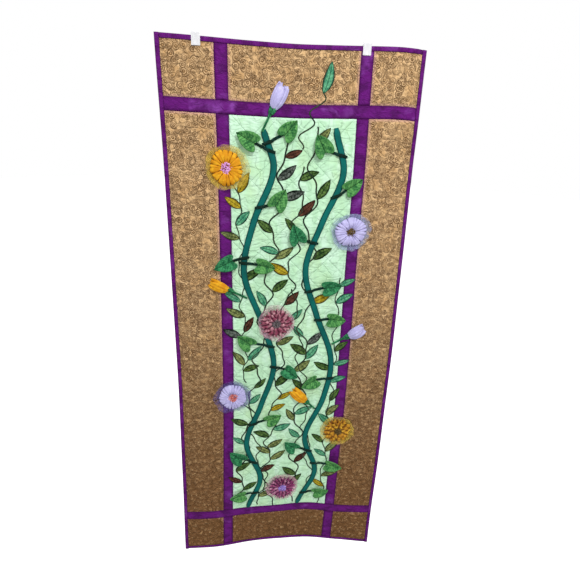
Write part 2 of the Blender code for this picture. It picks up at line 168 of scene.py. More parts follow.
# The pieced top: (name, cloth, left, right, top, bottom), each side counted from the
# left or the top edge, or back from the far one where it is negative
SEAM, STRIP = BORDER, BORDER + SASH
PATCHES = (
    ("corner_top_left", "print", 0.0, SEAM, 0.0, SEAM),
    ("corner_top_right", "print", -SEAM, -0.0, 0.0, SEAM),
    ("corner_bottom_left", "print", 0.0, SEAM, -SEAM, -0.0),
    ("corner_bottom_right", "print", -SEAM, -0.0, -SEAM, -0.0),
    ("panel_top", "print", STRIP, -STRIP, 0.0, SEAM),
    ("panel_bottom", "print", STRIP, -STRIP, -SEAM, -0.0),
    ("panel_left", "print", 0.0, SEAM, STRIP, -STRIP),
    ("panel_right", "print", -SEAM, -0.0, STRIP, -STRIP),
    ("panel_middle", "wash", STRIP, -STRIP, STRIP, -STRIP),
    ("sash_top", "dyed", 0.0, -0.0, SEAM, STRIP),
    ("sash_bottom", "dyed", 0.0, -0.0, -STRIP, -SEAM),
    ("sash_top_left", "dyed", SEAM, STRIP, 0.0, SEAM),
    ("sash_top_right", "dyed", -STRIP, -SEAM, 0.0, SEAM),
    ("sash_bottom_left", "dyed", SEAM, STRIP, -SEAM, -0.0),
    ("sash_bottom_right", "dyed", -STRIP, -SEAM, -SEAM, -0.0),
    ("sash_left", "dyed", SEAM, STRIP, STRIP, -STRIP),
    ("sash_right", "dyed", -STRIP, -SEAM, STRIP, -STRIP),
)
CLOTH_THICK = 0.0005      # the printed cloth itself
SEAM_ROLL = 0.0045        # how far from a seam the batting pushes the cloth up
SEAM_OUT = 0.0011         # from the middle of the quilt to the cloth at a seam
LATTICE = 2 * MIDDLE_HALF / 3     # between the mint panel's slanting lines, measured across

# Stitched stems: (top across, top down, foot across, foot down, swing, bends, start, width)
STEMS = (
    (-0.150, 0.260, -0.128, 0.960, 0.008, 12.0, 0.4, 0.0032),
    (-0.020, 0.230, -0.150, 1.440, 0.015, 17.0, 1.2, 0.0046),
    (0.030, 0.290, -0.070, 1.470, 0.014, 19.0, 2.9, 0.0042),
    (0.058, 0.190, 0.040, 1.470, 0.017, 16.0, 0.9, 0.0046),
    (0.150, 0.610, 0.146, 1.478, 0.008, 13.0, 1.7, 0.0034),
    (-0.140, 0.980, -0.030, 1.478, 0.012, 8.0, 2.4, 0.0040),
    (0.012, 0.640, 0.104, 1.400, 0.013, 12.0, 5.0, 0.0038),
)
LONG_STEM = (0.074, 0.048, 0.012, 0.246)      # across and down of its top and foot
LONG_LEAF = (0.076, 0.027)                    # length and width of the leaf at its top
LEAF_PRINTS = ("olive", "moss", "jade", "mustard", "bark", "slate", "moss", "jade", "olive")


def between(rows, at):
    """The value at a place in (place, value) rows, on a smooth curve through them."""
    last = len(rows) - 1
    i = min(last - 1, max(0, sum(place <= at for place, _ in rows) - 1))
    before, here, there, after = (rows[min(last, max(0, i + k))][1] for k in (-1, 0, 1, 2))
    t = min(1.0, max(0.0, (at - rows[i][0]) / (rows[i + 1][0] - rows[i][0])))
    bend = 2 * before - 5 * here + 4 * there - after
    turn = 3 * here - before - 3 * there + after
    return here + 0.5 * t * ((there - before) + t * (bend + t * turn))


def column(rows, number):
    """(place, value) rows from one column of a wider table."""
    return [(row[0], row[number]) for row in rows]


def cloth(across, down, out=0.0):
    """A point at a place on the hanging cloth, so far out from its middle."""
    u, w = 2 * across / WIDTH, down / HEIGHT
    forward = between(HEM_FORWARD, u) * w * w
    grown = min(1.0, max(0.0, w) / RIPPLES_START) ** 2
    for height, turns_across, turns_down, start in RIPPLES:
        forward += grown * height * math.sin(math.pi * (turns_across * u + 2 * turns_down * w) + start)
    return Vector((across + between(LEAN, w), -forward - out, between(TOP_RISE, u) * (1 - w) - down))


def soft(value, low, high):
    """Rises smoothly from 0 at low to 1 at high."""
    t = min(1.0, max(0.0, (value - low) / (high - low)))
    return t * t * (3 - 2 * t)


def steps(start, end, count):
    return [start + (end - start) * k / count for k in range(count + 1)]


# How the top is quilted

STITCH_SEED = 11         # which way the wandering stitches go


def meander(across, down, spacing):
    """Stippling: crosses 0 along a line of stitches that wanders over the cloth."""
    place = Vector((across, down, 0.0)) / spacing
    drift = noise.noise_vector(place * 0.45) * 0.9
    return noise.noise(place + drift + Vector((0, 0, 3.37)))


def print_relief(across, down, spacing):
    line = meander(across, down, spacing)
    return 0.04 + 0.96 * min(1.0, abs(line) * 2.9) ** 0.75, line


def wash_relief(across, down, spacing):
    diagonal = min(abs(math.sin(math.pi * (across + s * down) / LATTICE)) for s in (-1, 1))
    crinkle = noise.noise(Vector((across * 26, down * 95, 1.3)))
    fine = noise.noise(Vector((across * 70, down * 180, 7.7)))
    puff = 0.66 + 0.46 * crinkle + 0.18 * fine
    return puff * (0.25 + 0.75 * min(1.0, 7 * diagonal)), meander(across, down, 2.6 * spacing)


def dyed_relief(across, down, spacing):
    crease = noise.noise(Vector((across, down, 5.1)) / (0.8 * spacing))
    return 0.72 + 0.16 * crease, 1.0


RELIEFS = {"print": print_relief, "wash": wash_relief, "dyed": dyed_relief}


def patch_at(across, down):
    """The patch of the pieced top at a place, as (kind, left, right, top, bottom)."""
    for _, kind, left, right, top, bottom in PATCHES:
        sides = patch_sides(left, right, top, bottom)
        if sides[0] <= across <= sides[1] and sides[2] <= down <= sides[3]:
            return kind, sides
    return None


def patch_sides(left, right, top, bottom):
    def from_edge(place, length):
        return place + length if math.copysign(1.0, place) < 0 else place
    return (from_edge(left, WIDTH) - WIDTH / 2, from_edge(right, WIDTH) - WIDTH / 2,
            from_edge(top, HEIGHT), from_edge(bottom, HEIGHT))


def front_of(kind, sides, across, down, spacing):
    """(out, stitch line, nearness to a seam) of the patch's front at a place."""
    from_side = WIDTH / 2 - abs(across)
    from_end = min(down, HEIGHT - down)
    from_bound = min(from_side, from_end) - BINDING
    from_seam = min(reach for reach, edge in (
        (across - sides[0], sides[0] + WIDTH / 2), (sides[1] - across, WIDTH / 2 - sides[1]),
        (down - sides[2], sides[2]), (sides[3] - down, HEIGHT - sides[3])) if edge > BINDING)
    puff, line = RELIEFS[kind](across, down, spacing)
    rise = math.sin(0.5 * math.pi * min(1.0, max(0.0, from_seam) / SEAM_ROLL))
    flat = STITCHED - TUCK
    full = SEAM_OUT + rise * (STITCHED + LOFT * puff - SEAM_OUT)
    # The last value, nearness to a seam, is where the printed and mint fronts paint a highlight and the
    # sashing paints shade
    return flat + soft(from_bound, 0.0, 0.007) * (full - flat), line, 1 - soft(from_seam, 0.0, 0.008)


def surface(across, down):
    """How far out the quilted front lies at a place."""
    found = patch_at(across, down)
    return front_of(*found, across, down, STIPPLE)[0] if found else STITCHED


# Making meshes

def start():
    """A new bmesh whose points keep their place on the flat cloth, and a shade mark."""
    bm = bmesh.new()
    bm.verts.layers.float_vector.new("laid")
    bm.verts.layers.float.new("mark")
    return bm


def skin(bm, rows, ends=True):
    """A tube of faces laid through rings of (point, place on the flat cloth, mark) rows,
    its ends filled if told so."""
    last, count = len(rows) - 1, len(rows[0])
    flat, shade = bm.verts.layers.float_vector["laid"], bm.verts.layers.float["mark"]
    made = bmesh.ops.create_grid(bm, x_segments=count, y_segments=last, size=0.5)["verts"]
    for vertex in made:
        k = round((vertex.co.x + 0.5) * count) % count
        row = round((vertex.co.y + 0.5) * last)
        vertex.co, place, vertex[shade] = rows[row][k]
        vertex[flat] = (*place, 0.0)
    bmesh.ops.remove_doubles(bm, verts=made, dist=SAME_PLACE)
    if ends:
        made = [vertex for vertex in made if vertex.is_valid]
        rim = {edge for vertex in made for edge in vertex.link_edges if edge.is_boundary}
        bmesh.ops.holes_fill(bm, edges=list(rim), sides=0)


def piece(name, bm, materials, nodes=()):
    """Finish a bmesh as an object that rides on the hanging."""
    bmesh.ops.recalc_face_normals(bm, faces=bm.faces)
    mesh = bpy.data.meshes.new(name)
    bm.to_mesh(mesh)
    bm.free()
    for material in materials:
        mesh.materials.append(material)
    mesh.polygons.foreach_set("use_smooth", [True] * len(mesh.polygons))
    made = bpy.data.objects.new(name, mesh)
    bpy.context.scene.collection.objects.link(made)
    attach(made, BODY)
    if nodes:
        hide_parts(*nodes)
    return made


def heading_frame(across, down, heading):
    """Turns (along, aside) into (across, down) from a foot, for a heading in degrees."""
    lean = math.radians(heading)
    ahead = (math.sin(lean), -math.cos(lean))

    def place(along, aside):
        return (across + along * ahead[0] - aside * ahead[1], down + along * ahead[1] + aside * ahead[0])
    return place


def tape(bm, path, section):
    """A flat tube along path rows (across, down, seat, width, rise), with a section of
    (share of the width aside, share of the rise up) points. Gives its length."""
    rows = []
    length = 0.0
    for k, (across, down, seat, width, rise) in enumerate(path):
        before, after = path[max(0, k - 1)], path[min(len(path) - 1, k + 1)]
        run = math.hypot(after[0] - before[0], after[1] - before[1])
        side = ((after[1] - before[1]) / run, (before[0] - after[0]) / run)
        if k:
            length += math.hypot(across - path[k - 1][0], down - path[k - 1][1])
        # The mark rises towards the tape's edges, where the vine tape's finish paints shade
        rows.append([(cloth(across + aside * width * side[0], down + aside * width * side[1],
                            seat + up * rise), (aside * width, length), soft(abs(aside), 0.30, 0.47))
                     for aside, up in section])
    skin(bm, rows)
    return length


def dome(count):
    """The section of a folded tape: rounded edges, a soft crown and a flat back."""
    crown = [(0.5 * math.cos(a), math.sin(a) ** 0.6)
             for a in (math.pi * (1 - k / count) for k in range(1, count))]
    return [(-0.5, 0.10), *crown, (0.5, 0.10), (0.40, 0.0), (0.0, 0.0), (-0.40, 0.0)]


# Shader nodes

COTTON_THREADS = 1900.0           # turns of the weave to a metre
PEBBLE_SIZE = 0.0150              # one pebble of the printed panels' quilting
SCUFFED = (0.70, 0.70, 0.72)      # where a clip's plastic is worn

def feed(tree, socket, value):
    """Link a socket, or set a plain number or colour."""
    if isinstance(value, bpy.types.NodeSocket):
        tree.links.new(value, socket)
    elif socket.type == "RGBA":
        socket.default_value = (*value[:3], 1.0)
    else:
        socket.default_value = value


def add(tree, kind, feeds=None, **settings):
    """A new shader node with its settings and what feeds its inputs."""
    made = tree.nodes.new("ShaderNode" + kind)
    for name, value in settings.items():
        setattr(made, name, value)
    for name, value in (feeds or {}).items():
        feed(tree, made.inputs[name], value)
    return made


def maths(tree, operation, *values):
    made = add(tree, "Math", operation=operation)
    for socket, value in zip(made.inputs, values):
        feed(tree, socket, value)
    return made.outputs[0]


def times(tree, first, second):
    return maths(tree, "MULTIPLY", first, second)


def scaled(tree, value, by, plus):
    """A value times one number and plus another."""
    return maths(tree, "MULTIPLY_ADD", value, by, plus)


def less(tree, value, taken):
    return maths(tree, "SUBTRACT", value, taken)


def between_values(tree, value, low, high):
    """0 at low, 1 at high, smooth between them."""
    made = add(tree, "MapRange", {"Value": value, "From Min": low, "From Max": high},
               interpolation_type="SMOOTHSTEP")
    return made.outputs["Result"]


def mixed(tree, factor, low, high, blend_type="MIX"):
    made = add(tree, "Mix", data_type="RGBA", blend_type=blend_type)
    feed(tree, made.inputs[0], factor)
    feed(tree, made.inputs[6], low)
    feed(tree, made.inputs[7], high)
    return made.outputs[2]


def grouped(name, inputs, outputs):
    """An empty node group: (group, its input node, its output node)."""
    group = bpy.data.node_groups.new(name, "ShaderNodeTree")
    for socket_name, kind, default in inputs:
        made = group.interface.new_socket(socket_name, in_out="INPUT", socket_type="NodeSocket" + kind)
        if default is not None:
            made.default_value = default
    for socket_name, kind in outputs:
        group.interface.new_socket(socket_name, in_out="OUTPUT", socket_type="NodeSocket" + kind)
    return group, group.nodes.new("NodeGroupInput"), group.nodes.new("NodeGroupOutput")


def weave_group():
    """Over and under threads of plain cloth, as a height from 0 to 1."""
    group, given, made = grouped("plain weave", (("Vector", "Vector", None), ("Threads", "Float", 2400.0)),
                                 (("Height", "Float"),))
    apart = add(group, "SeparateXYZ", {"Vector": given.outputs["Vector"]})
    turn = times(group, given.outputs["Threads"], math.pi)
    waves = [maths(group, "SINE", times(group, apart.outputs[axis], turn)) for axis in ("X", "Y")]
    feed(group, made.inputs["Height"], scaled(group, times(group, *waves), 0.5, 0.5))
    return group


def blotch_group():
    """Soft uneven patches of a size in metres, as a mask."""
    group, given, made = grouped("dye blotches", (
        ("Vector", "Vector", None), ("Size", "Float", 0.03), ("Low", "Float", 0.4),
        ("High", "Float", 0.6)), (("Mask", "Float"),))
    scale = maths(group, "DIVIDE", 1.0, given.outputs["Size"])
    clouds = add(group, "TexNoise", {"Vector": given.outputs["Vector"], "Scale": scale, "Detail": 3.0,
                                     "Roughness": 0.55, "Distortion": 0.4})
    spread = between_values(group, clouds.outputs["Fac"], given.outputs["Low"], given.outputs["High"])
    feed(group, made.inputs["Mask"], spread)
    return group


def stitch_group():
    """A line of stitches where a value crosses 0: the mask of its dark line (thread colour on the mint,
    painted shade of the dip on the print) and how far it dips.
    """
    group, given, made = grouped("stitch line", (("Line", "Float", 0.0), ("Width", "Float", 0.05)),
                                 (("Mask", "Float"), ("Dip", "Float")))
    off = maths(group, "ABSOLUTE", given.outputs["Line"])
    width = given.outputs["Width"]
    for name, reach in (("Mask", width), ("Dip", times(group, width, 3.0))):
        feed(group, made.inputs[name], less(group, 1.0, between_values(group, off, 0.0, reach)))
    return group


def tulle_group():
    """Net threads that cross aslant, as a mask."""
    group, given, made = grouped("net threads", (("Vector", "Vector", None), ("Pitch", "Float", 0.0016)),
                                 (("Mask", "Float"),))
    apart = add(group, "SeparateXYZ", {"Vector": given.outputs["Vector"]})
    turn = maths(group, "DIVIDE", math.pi, given.outputs["Pitch"])
    threads = []
    for way in ("ADD", "SUBTRACT"):
        slant = maths(group, way, apart.outputs["X"], times(group, apart.outputs["Y"], 0.58))
        wave = maths(group, "ABSOLUTE", maths(group, "COSINE", times(group, slant, turn)))
        threads.append(between_values(group, wave, 0.80, 0.97))
    feed(group, made.inputs["Mask"], maths(group, "MAXIMUM", *threads))
    return group


def ring_group():
    """Scattered double rings: the printed lines and the paler gaps between them, as masks."""
    group, given, made = grouped("printed rings", (
        ("Vector", "Vector", None), ("Scale", "Float", 70.0), ("Line", "Float", 0.07),
        ("Left out", "Float", 0.3)), (("Dark", "Float"), ("Light", "Float")))
    cells = add(group, "TexVoronoi", {"Vector": given.outputs["Vector"], "Scale": given.outputs["Scale"],
                                      "Randomness": 0.75}, voronoi_dimensions="2D")
    drawn = add(group, "SeparateColor", {"Color": cells.outputs["Color"]})
    shown = maths(group, "GREATER_THAN", drawn.outputs["Red"], given.outputs["Left out"])
    far = maths(group, "DIVIDE", cells.outputs["Distance"], scaled(group, drawn.outputs["Green"], 0.40, 0.78))
    wide = times(group, given.outputs["Line"], 1.6)
    for name, radii in (("Dark", (0.42, 0.16)), ("Light", (0.55, 0.29))):
        reach = [maths(group, "ABSOLUTE", less(group, far, radius)) for radius in radii]
        off = between_values(group, maths(group, "MINIMUM", *reach), given.outputs["Line"], wide)
        feed(group, made.inputs[name], times(group, shown, less(group, 1.0, off)))
    return group


def crinkle_group():
    """The small puckers that close quilting draws the cloth into, as a height."""
    group, given, made = grouped("quilted puckers", (
        ("Vector", "Vector", None), ("Size", "Float", 0.010), ("Round", "Float", 0.0)),
        (("Height", "Float"),))
    place = given.outputs["Vector"]
    scale = maths(group, "DIVIDE", 1.0, given.outputs["Size"])
    broad = add(group, "TexNoise", {"Vector": place, "Scale": scale, "Detail": 1.0, "Roughness": 0.5,
                                    "Distortion": 0.6}, noise_dimensions="2D")
    folded = maths(group, "ABSOLUTE", scaled(group, broad.outputs["Fac"], 4.0, -2.0))
    domed = maths(group, "POWER", maths(group, "MINIMUM", folded, 1.0), 0.7)
    fine = add(group, "TexNoise", {"Vector": place, "Scale": times(group, scale, 2.7), "Detail": 2.0},
               noise_dimensions="2D")
    cells = add(group, "TexVoronoi", {"Vector": place, "Scale": scale, "Smoothness": 0.35},
                voronoi_dimensions="2D", feature="SMOOTH_F1")
    pebbles = scaled(group, cells.outputs["Distance"], -1.35, 1.12)
    body = scaled(group, less(group, pebbles, domed), given.outputs["Round"], domed)
    feed(group, made.inputs["Height"], scaled(group, fine.outputs["Fac"], 0.45, body))
    return group


def effect(name):
    """The shared node group of that name, built once."""
    makers = {"plain weave": weave_group, "dye blotches": blotch_group, "stitch line": stitch_group,
              "net threads": tulle_group, "printed rings": ring_group, "quilted puckers": crinkle_group}
    return bpy.data.node_groups.get(name) or makers[name]()


def use(tree, name, **feeds):
    return add(tree, "Group", feeds, node_tree=effect(name))


class Finish:
    """One material: its tree, its Principled shader, its colour and the vectors that it reads."""

    def __init__(self, name, roughness, ground, sheen=0.0, specular=0.10):
        self.material = bpy.data.materials.new(name)
        self.material.use_nodes = True
        self.tree = self.material.node_tree
        self.shader = self.tree.nodes["Principled BSDF"]
        self.shader.inputs["Roughness"].default_value = roughness
        self.shader.inputs["Sheen Weight"].default_value = sheen
        self.shader.inputs["Specular IOR Level"].default_value = specular
        self.ground = ground
        self.read = {}

    def attribute(self, name, output):
        if name not in self.read:
            self.read[name] = add(self.tree, "Attribute", attribute_name=name).outputs[output]
        return self.read[name]

    @property
    def laid(self):
        """The place on the flat cloth, in metres."""
        return self.attribute("laid", "Vector")

    @property
    def mark(self):
        """A seam, a rim or a fold, as each piece's mesh says; most finishes paint shade or a highlight by it.
        """
        return self.attribute("mark", "Fac")

    @property
    def line(self):
        """Crosses 0 along the stippled stitches."""
        return self.attribute("line", "Fac")

    @property
    def here(self):
        """The place in the hanging's own space."""
        if "here" not in self.read:
            self.read["here"] = add(self.tree, "TexCoord").outputs["Object"]
        return self.read["here"]

    def lay(self, shade, mask, strength=None):
        """Lay a shade over the colour so far, as far as a mask says."""
        if strength is not None:
            mask = times(self.tree, mask, strength)
        self.ground = mixed(self.tree, mask, self.ground, shade)
        feed(self.tree, self.shader.inputs["Base Color"], self.ground)

    def bump(self, height, distance):
        made = add(self.tree, "Bump", {"Height": height, "Distance": distance})
        feed(self.tree, self.shader.inputs["Normal"], made.outputs["Normal"])

    def stretched(self, x, y):
        """The flat cloth's place, with each way stretched."""
        return add(self.tree, "Mapping", {"Vector": self.laid, "Scale": (x, y, 1.0)}).outputs["Vector"]

    def apart(self):
        """The flat cloth's place, as a node with its ways apart."""
        return add(self.tree, "SeparateXYZ", {"Vector": self.laid})

    def lower(self, start, end):
        """0 above one place down the cloth and 1 below another."""
        return between_values(self.tree, times(self.tree, self.apart().outputs["Y"], -1.0), start, end)

    def clouds(self, size, low, high, over=None):
        """Soft blotches of a size, over the hanging's own space or over another vector."""
        vector = self.here if over is None else over
        return use(self.tree, "dye blotches", Vector=vector, Size=size, Low=low, High=high).outputs["Mask"]

    def puckers(self, size, pebbled, over=None):
        """The height of the quilted puckers, over the flat cloth or over another vector."""
        vector = self.laid if over is None else over
        return use(self.tree, "quilted puckers", Vector=vector, Size=size, Round=pebbled).outputs["Height"]

    def weave(self, threads=COTTON_THREADS):
        return use(self.tree, "plain weave", Vector=self.laid, Threads=threads).outputs["Height"]

    def grain(self, scale):
        """Fine noise over the hanging's own space."""
        return add(self.tree, "TexNoise", {"Vector": self.here, "Scale": scale, "Detail": 2.0}).outputs["Fac"]


def ready(maker):
    """Keeps each material that a maker has made, so that it is made once."""
    def made(*names):
        name = "_".join((maker.__name__, *names))
        return bpy.data.materials.get(name) or maker(name, *names)
    return made


@ready
def ring_print(name):
    """Tan cotton printed with clusters of small brown rings, stippled all over; painted shade in the stitched
    dips, in the puckers' hollows and towards the hem, and a painted highlight along the seams and on the
    pucker crests.
    """
    hues = bpy.context.scene.hanging_colours
    look = Finish(name, 0.92, hues.panel)
    tree, laid = look.tree, look.laid
    look.lay(hues.panel_light, look.clouds(0.048, 0.38, 0.64, laid))
    look.lay(hues.print_brown, look.clouds(0.013, 0.46, 0.70, laid), 0.15)
    crowd = look.clouds(0.036, 0.44, 0.56, laid)
    for scale, line, left_out, strength in ((58.0, 0.058, 0.12, 0.85), (96.0, 0.085, 0.30, 0.60)):
        rings = use(tree, "printed rings", Vector=laid, Scale=scale, Line=line)
        rings.inputs["Left out"].default_value = left_out
        clear = scaled(tree, crowd, 0.34 * strength, 0.66 * strength)
        look.lay(hues.panel_edge, rings.outputs["Light"], times(tree, clear, 0.50))
        look.lay(hues.print_brown, rings.outputs["Dark"], clear)
    seam = use(tree, "stitch line", Line=look.line, Width=0.05)
    # Painted shade along the stitched dips of the stippling, in the print brown
    look.lay(hues.print_brown, seam.outputs["Mask"], 0.45)
    # Painted highlight along the seams, where the cloth rolls up over the batting
    look.lay(hues.panel_seam, look.mark, 0.70)
    puckers = look.puckers(PEBBLE_SIZE, 0.5)
    hollow_shade = less(tree, 1.0, between_values(tree, puckers, 0.30, 1.05))
    crest_highlight = between_values(tree, puckers, 0.80, 1.25)
    low = look.lower(0.30, 1.30)
    # Painted shade, darker towards the hem, held back on the pucker crests as a painted highlight
    look.lay(hues.panel_deep, look.lower(0.50, 1.65), scaled(tree, crest_highlight, -0.50, 0.95))
    # Painted shade in the puckers' hollows, stronger lower down
    look.lay(hues.print_brown, hollow_shade, scaled(tree, low, 0.56, 0.06))
    height = scaled(tree, look.weave(), 0.03, times(tree, puckers, scaled(tree, low, 0.55, 0.45)))
    look.bump(less(tree, height, times(tree, seam.outputs["Dip"], 0.3)), 0.0060)
    return look.material


@ready
def dyed_purple(name):
    """Hand-dyed purple cotton: plum with violet clouds and a crosswise grain, and painted shade along its
    seams and folded edges.
    """
    hues = bpy.context.scene.hanging_colours
    look = Finish(name, 0.88, hues.sash)
    tree = look.tree
    look.lay(hues.sash_dark, look.clouds(0.034, 0.46, 0.62, look.stretched(0.8, 1.3)), 0.7)
    small = look.clouds(0.018, 0.42, 0.70, look.stretched(1.0, 0.7))
    look.lay(hues.sash_light, look.clouds(0.060, 0.55, 0.70, look.laid), scaled(tree, small, 0.6, 0.4))
    look.lay(hues.sash_light, look.clouds(0.006, 0.30, 0.75, look.stretched(0.25, 2.2)), 0.14)
    # Painted shade along the seams, and along the binding strip's folded edges
    look.lay(hues.sash_dark, look.mark, 0.75)
    puckers = look.puckers(0.013, 0.0, look.stretched(0.7, 1.0))
    look.bump(scaled(tree, look.weave(), 0.05, puckers), 0.0015)
    return look.material


@ready
def washed_mint(name):
    """Pale mint cotton washed with lime and a paler mint, quilted aslant in green thread, with a painted
    highlight along its seams.
    """
    hues = bpy.context.scene.hanging_colours
    look = Finish(name, 0.9, hues.centre)
    tree = look.tree
    look.lay(hues.centre_lime, look.clouds(0.090, 0.46, 0.66, look.stretched(1.0, 0.7)), 0.7)
    look.lay(hues.centre_sky, look.clouds(0.050, 0.44, 0.68, look.stretched(1.3, 0.6)), 0.8)
    look.lay(hues.centre_thread, look.clouds(0.012, 0.30, 0.75, look.stretched(1.0, 0.12)), 0.16)
    apart = look.apart()
    dips = []
    for way in ("ADD", "SUBTRACT"):
        aslant = maths(tree, way, apart.outputs["X"], apart.outputs["Y"])
        line = maths(tree, "SINE", times(tree, aslant, math.pi / LATTICE))
        sewn = use(tree, "stitch line", Line=line, Width=0.030)
        look.lay(hues.centre_thread, sewn.outputs["Mask"], 0.40)
        dips.append(sewn.outputs["Dip"])
    loops = use(tree, "stitch line", Line=look.line, Width=0.016)
    look.lay(hues.centre_thread, loops.outputs["Mask"], 0.26)
    # Painted highlight along the seams
    look.lay(hues.centre_sky, look.mark, 0.6)
    dip = maths(tree, "MAXIMUM", maths(tree, "MAXIMUM", *dips), loops.outputs["Dip"])
    height = less(tree, look.puckers(0.019, 0.0, look.stretched(0.45, 1.0)), times(tree, dip, 0.6))
    look.bump(scaled(tree, look.weave(), 0.04, height), 0.0017)
    return look.material


@ready
def plain_backing(name):
    """Unprinted tan cotton on the back, with the quilting showing through and painted shade in the puckers'
    hollows.
    """
    hues = bpy.context.scene.hanging_colours
    look = Finish(name, 0.92, hues.backing)
    tree = look.tree
    look.lay(hues.panel, look.clouds(0.090, 0.30, 0.70, look.laid), 0.5)
    puckers = look.puckers(PEBBLE_SIZE, 0.5)
    # Painted shade in the puckers' hollows
    look.lay(hues.print_brown, less(tree, 1.0, between_values(tree, puckers, 0.10, 0.75)), 0.30)
    look.bump(scaled(tree, look.weave(), 0.05, puckers), 0.0040)
    return look.material


@ready
def folded_tape(name):
    """Teal bias tape, with painted shade where its edges turn under."""
    hues = bpy.context.scene.hanging_colours
    look = Finish(name, 0.8, hues.tape, 0.0, 0.16)
    look.lay(hues.tape_dark, look.clouds(0.045, 0.35, 0.65), 0.4)
    # Painted shade at the turned-under edges
    look.lay(hues.tape_dark, look.mark)
    look.bump(scaled(look.tree, look.weave(2200.0), 0.1, look.grain(150.0)), 0.0012)
    return look.material


@ready
def night_print(name):
    """Near-black green cotton with pale flecks, sewn into padded stems."""
    hues = bpy.context.scene.hanging_colours
    look = Finish(name, 0.85, hues.stem)
    look.lay(hues.tape_dark, look.clouds(0.012, 0.45, 0.6), 0.5)
    look.lay(hues.stem_fleck, look.clouds(0.0035, 0.58, 0.70), 0.30)
    look.bump(look.grain(300.0), 0.0010)
    return look.material


# (dark, light, vein) colours of each leaf cloth
LEAF_CLOTHS = {
    "green": ((0.022, 0.130, 0.040), (0.150, 0.440, 0.120), (0.008, 0.045, 0.016)),
    "fern": ((0.010, 0.100, 0.042), (0.060, 0.330, 0.130), (0.005, 0.036, 0.016)),
    "olive": ((0.070, 0.100, 0.030), (0.330, 0.380, 0.130), (0.014, 0.022, 0.008)),
    "moss": ((0.016, 0.050, 0.012), (0.130, 0.230, 0.055), (0.004, 0.012, 0.004)),
    "jade": ((0.030, 0.220, 0.120), (0.170, 0.500, 0.270), (0.010, 0.050, 0.032)),
    "mustard": ((0.300, 0.210, 0.008), (0.560, 0.430, 0.030), (0.050, 0.034, 0.006)),
    "bark": ((0.035, 0.012, 0.008), (0.150, 0.060, 0.034), (0.012, 0.005, 0.003)),
    "slate": ((0.006, 0.012, 0.009), (0.190, 0.220, 0.190), (0.003, 0.006, 0.004)),
}


@ready
def leaf_cloth(name, kind):
    """Mottled leaf print with a stitched rib, side veins and a corded edge."""
    dark, light, vein = LEAF_CLOTHS[kind]
    padded = kind in ("green", "fern")
    look = Finish(name, 0.85, dark)
    tree = look.tree
    broad = look.clouds(0.011, 0.40, 0.60)
    look.lay(light, scaled(tree, look.clouds(0.0042, 0.42, 0.62), 0.4, times(tree, broad, 0.6)))
    apart = look.apart()
    aside = maths(tree, "ABSOLUTE", apart.outputs["X"])
    rib = less(tree, 1.0, between_values(tree, aside, 0.0003, 0.0011))
    sloped = less(tree, apart.outputs["Y"], times(tree, aside, VEIN_SLOPE))
    waves = maths(tree, "SINE", times(tree, sloped, math.tau / VEIN_PITCH))
    veins = maths(tree, "MAXIMUM", rib, times(tree, between_values(tree, waves, 0.86, 0.98), 0.55))
    look.lay(vein, veins, 0.85)
    look.lay(tuple(0.5 * a + 0.5 * b for a, b in zip(dark, light)) if padded else vein, look.mark)
    look.bump(less(tree, look.grain(380.0), veins), 0.0009)
    return look.material


@ready
def stem_thread(name):
    """Dark green satin stitches, laid side by side across a line, with a painted highlight along each
    strand's crest.
    """
    hues = bpy.context.scene.hanging_colours
    look = Finish(name, 0.65, hues.stem, 0.0, 0.2)
    tree = look.tree
    look.lay(hues.stem_olive, look.clouds(0.055, 0.44, 0.58))
    strands = maths(tree, "SINE", times(tree, look.apart().outputs["Y"], math.tau / 0.0009))
    # Painted highlight on the crest of each strand
    look.lay(hues.stem_fleck, between_values(tree, strands, 0.4, 1.2))
    look.bump(strands, 0.0002)
    return look.material


# (painted shade in the folds, cloth, painted highlight) colours of each gathered cloth
GATHERED = {
    "lilac": ((0.040, 0.030, 0.100), (0.450, 0.420, 0.700), (0.620, 0.590, 0.900)),
    "gold": ((0.150, 0.030, 0.002), (0.660, 0.270, 0.006), (0.860, 0.480, 0.020)),
    "amber": ((0.170, 0.062, 0.008), (0.460, 0.200, 0.016), (0.820, 0.480, 0.040)),
    "rose": ((0.085, 0.013, 0.032), (0.270, 0.055, 0.100), (0.860, 0.500, 0.540)),
    "plum": ((0.062, 0.008, 0.050), (0.250, 0.040, 0.130), (0.800, 0.430, 0.580)),
}


@ready
def gathered_cloth(name, kind):
    """Cloth drawn up into pleats, with painted shade down in the folds and painted highlights in patches on
    the rest.
    """
    fold_shade, ground, ridge = GATHERED[kind]
    look = Finish(name, 0.75, fold_shade, 0.0, 0.2)
    tree = look.tree
    lit = times(tree, look.clouds(0.016, 0.42, 0.64), scaled(tree, look.clouds(0.005, 0.45, 0.65), 0.5, 0.5))
    # Painted shade where the mark is low, down in the folds; elsewhere the cloth with painted highlights in
    # patches
    look.lay(mixed(tree, lit, ground, ridge), between_values(tree, look.mark, 0.02, 0.55))
    look.bump(look.grain(300.0), 0.0006)
    return look.material


NETS = {"net_yellow": (0.800, 0.560, 0.080), "net_mist": (0.420, 0.500, 0.740),
        "net_pink": (0.760, 0.420, 0.520), "net_violet": (0.170, 0.140, 0.420)}
# (dark, light) colours of each tuft
TUFTS = {"tuft_pink": ((0.62, 0.24, 0.62), (0.85, 0.50, 0.80)),
         "tuft_brown": ((0.07, 0.05, 0.02), (0.24, 0.15, 0.05)),
         "tuft_grey": ((0.10, 0.08, 0.09), (0.24, 0.20, 0.21)),
         "tuft_red": ((0.50, 0.07, 0.06), (0.85, 0.40, 0.36)),
         "tuft_lilac": ((0.26, 0.15, 0.55), (0.55, 0.42, 0.86))}


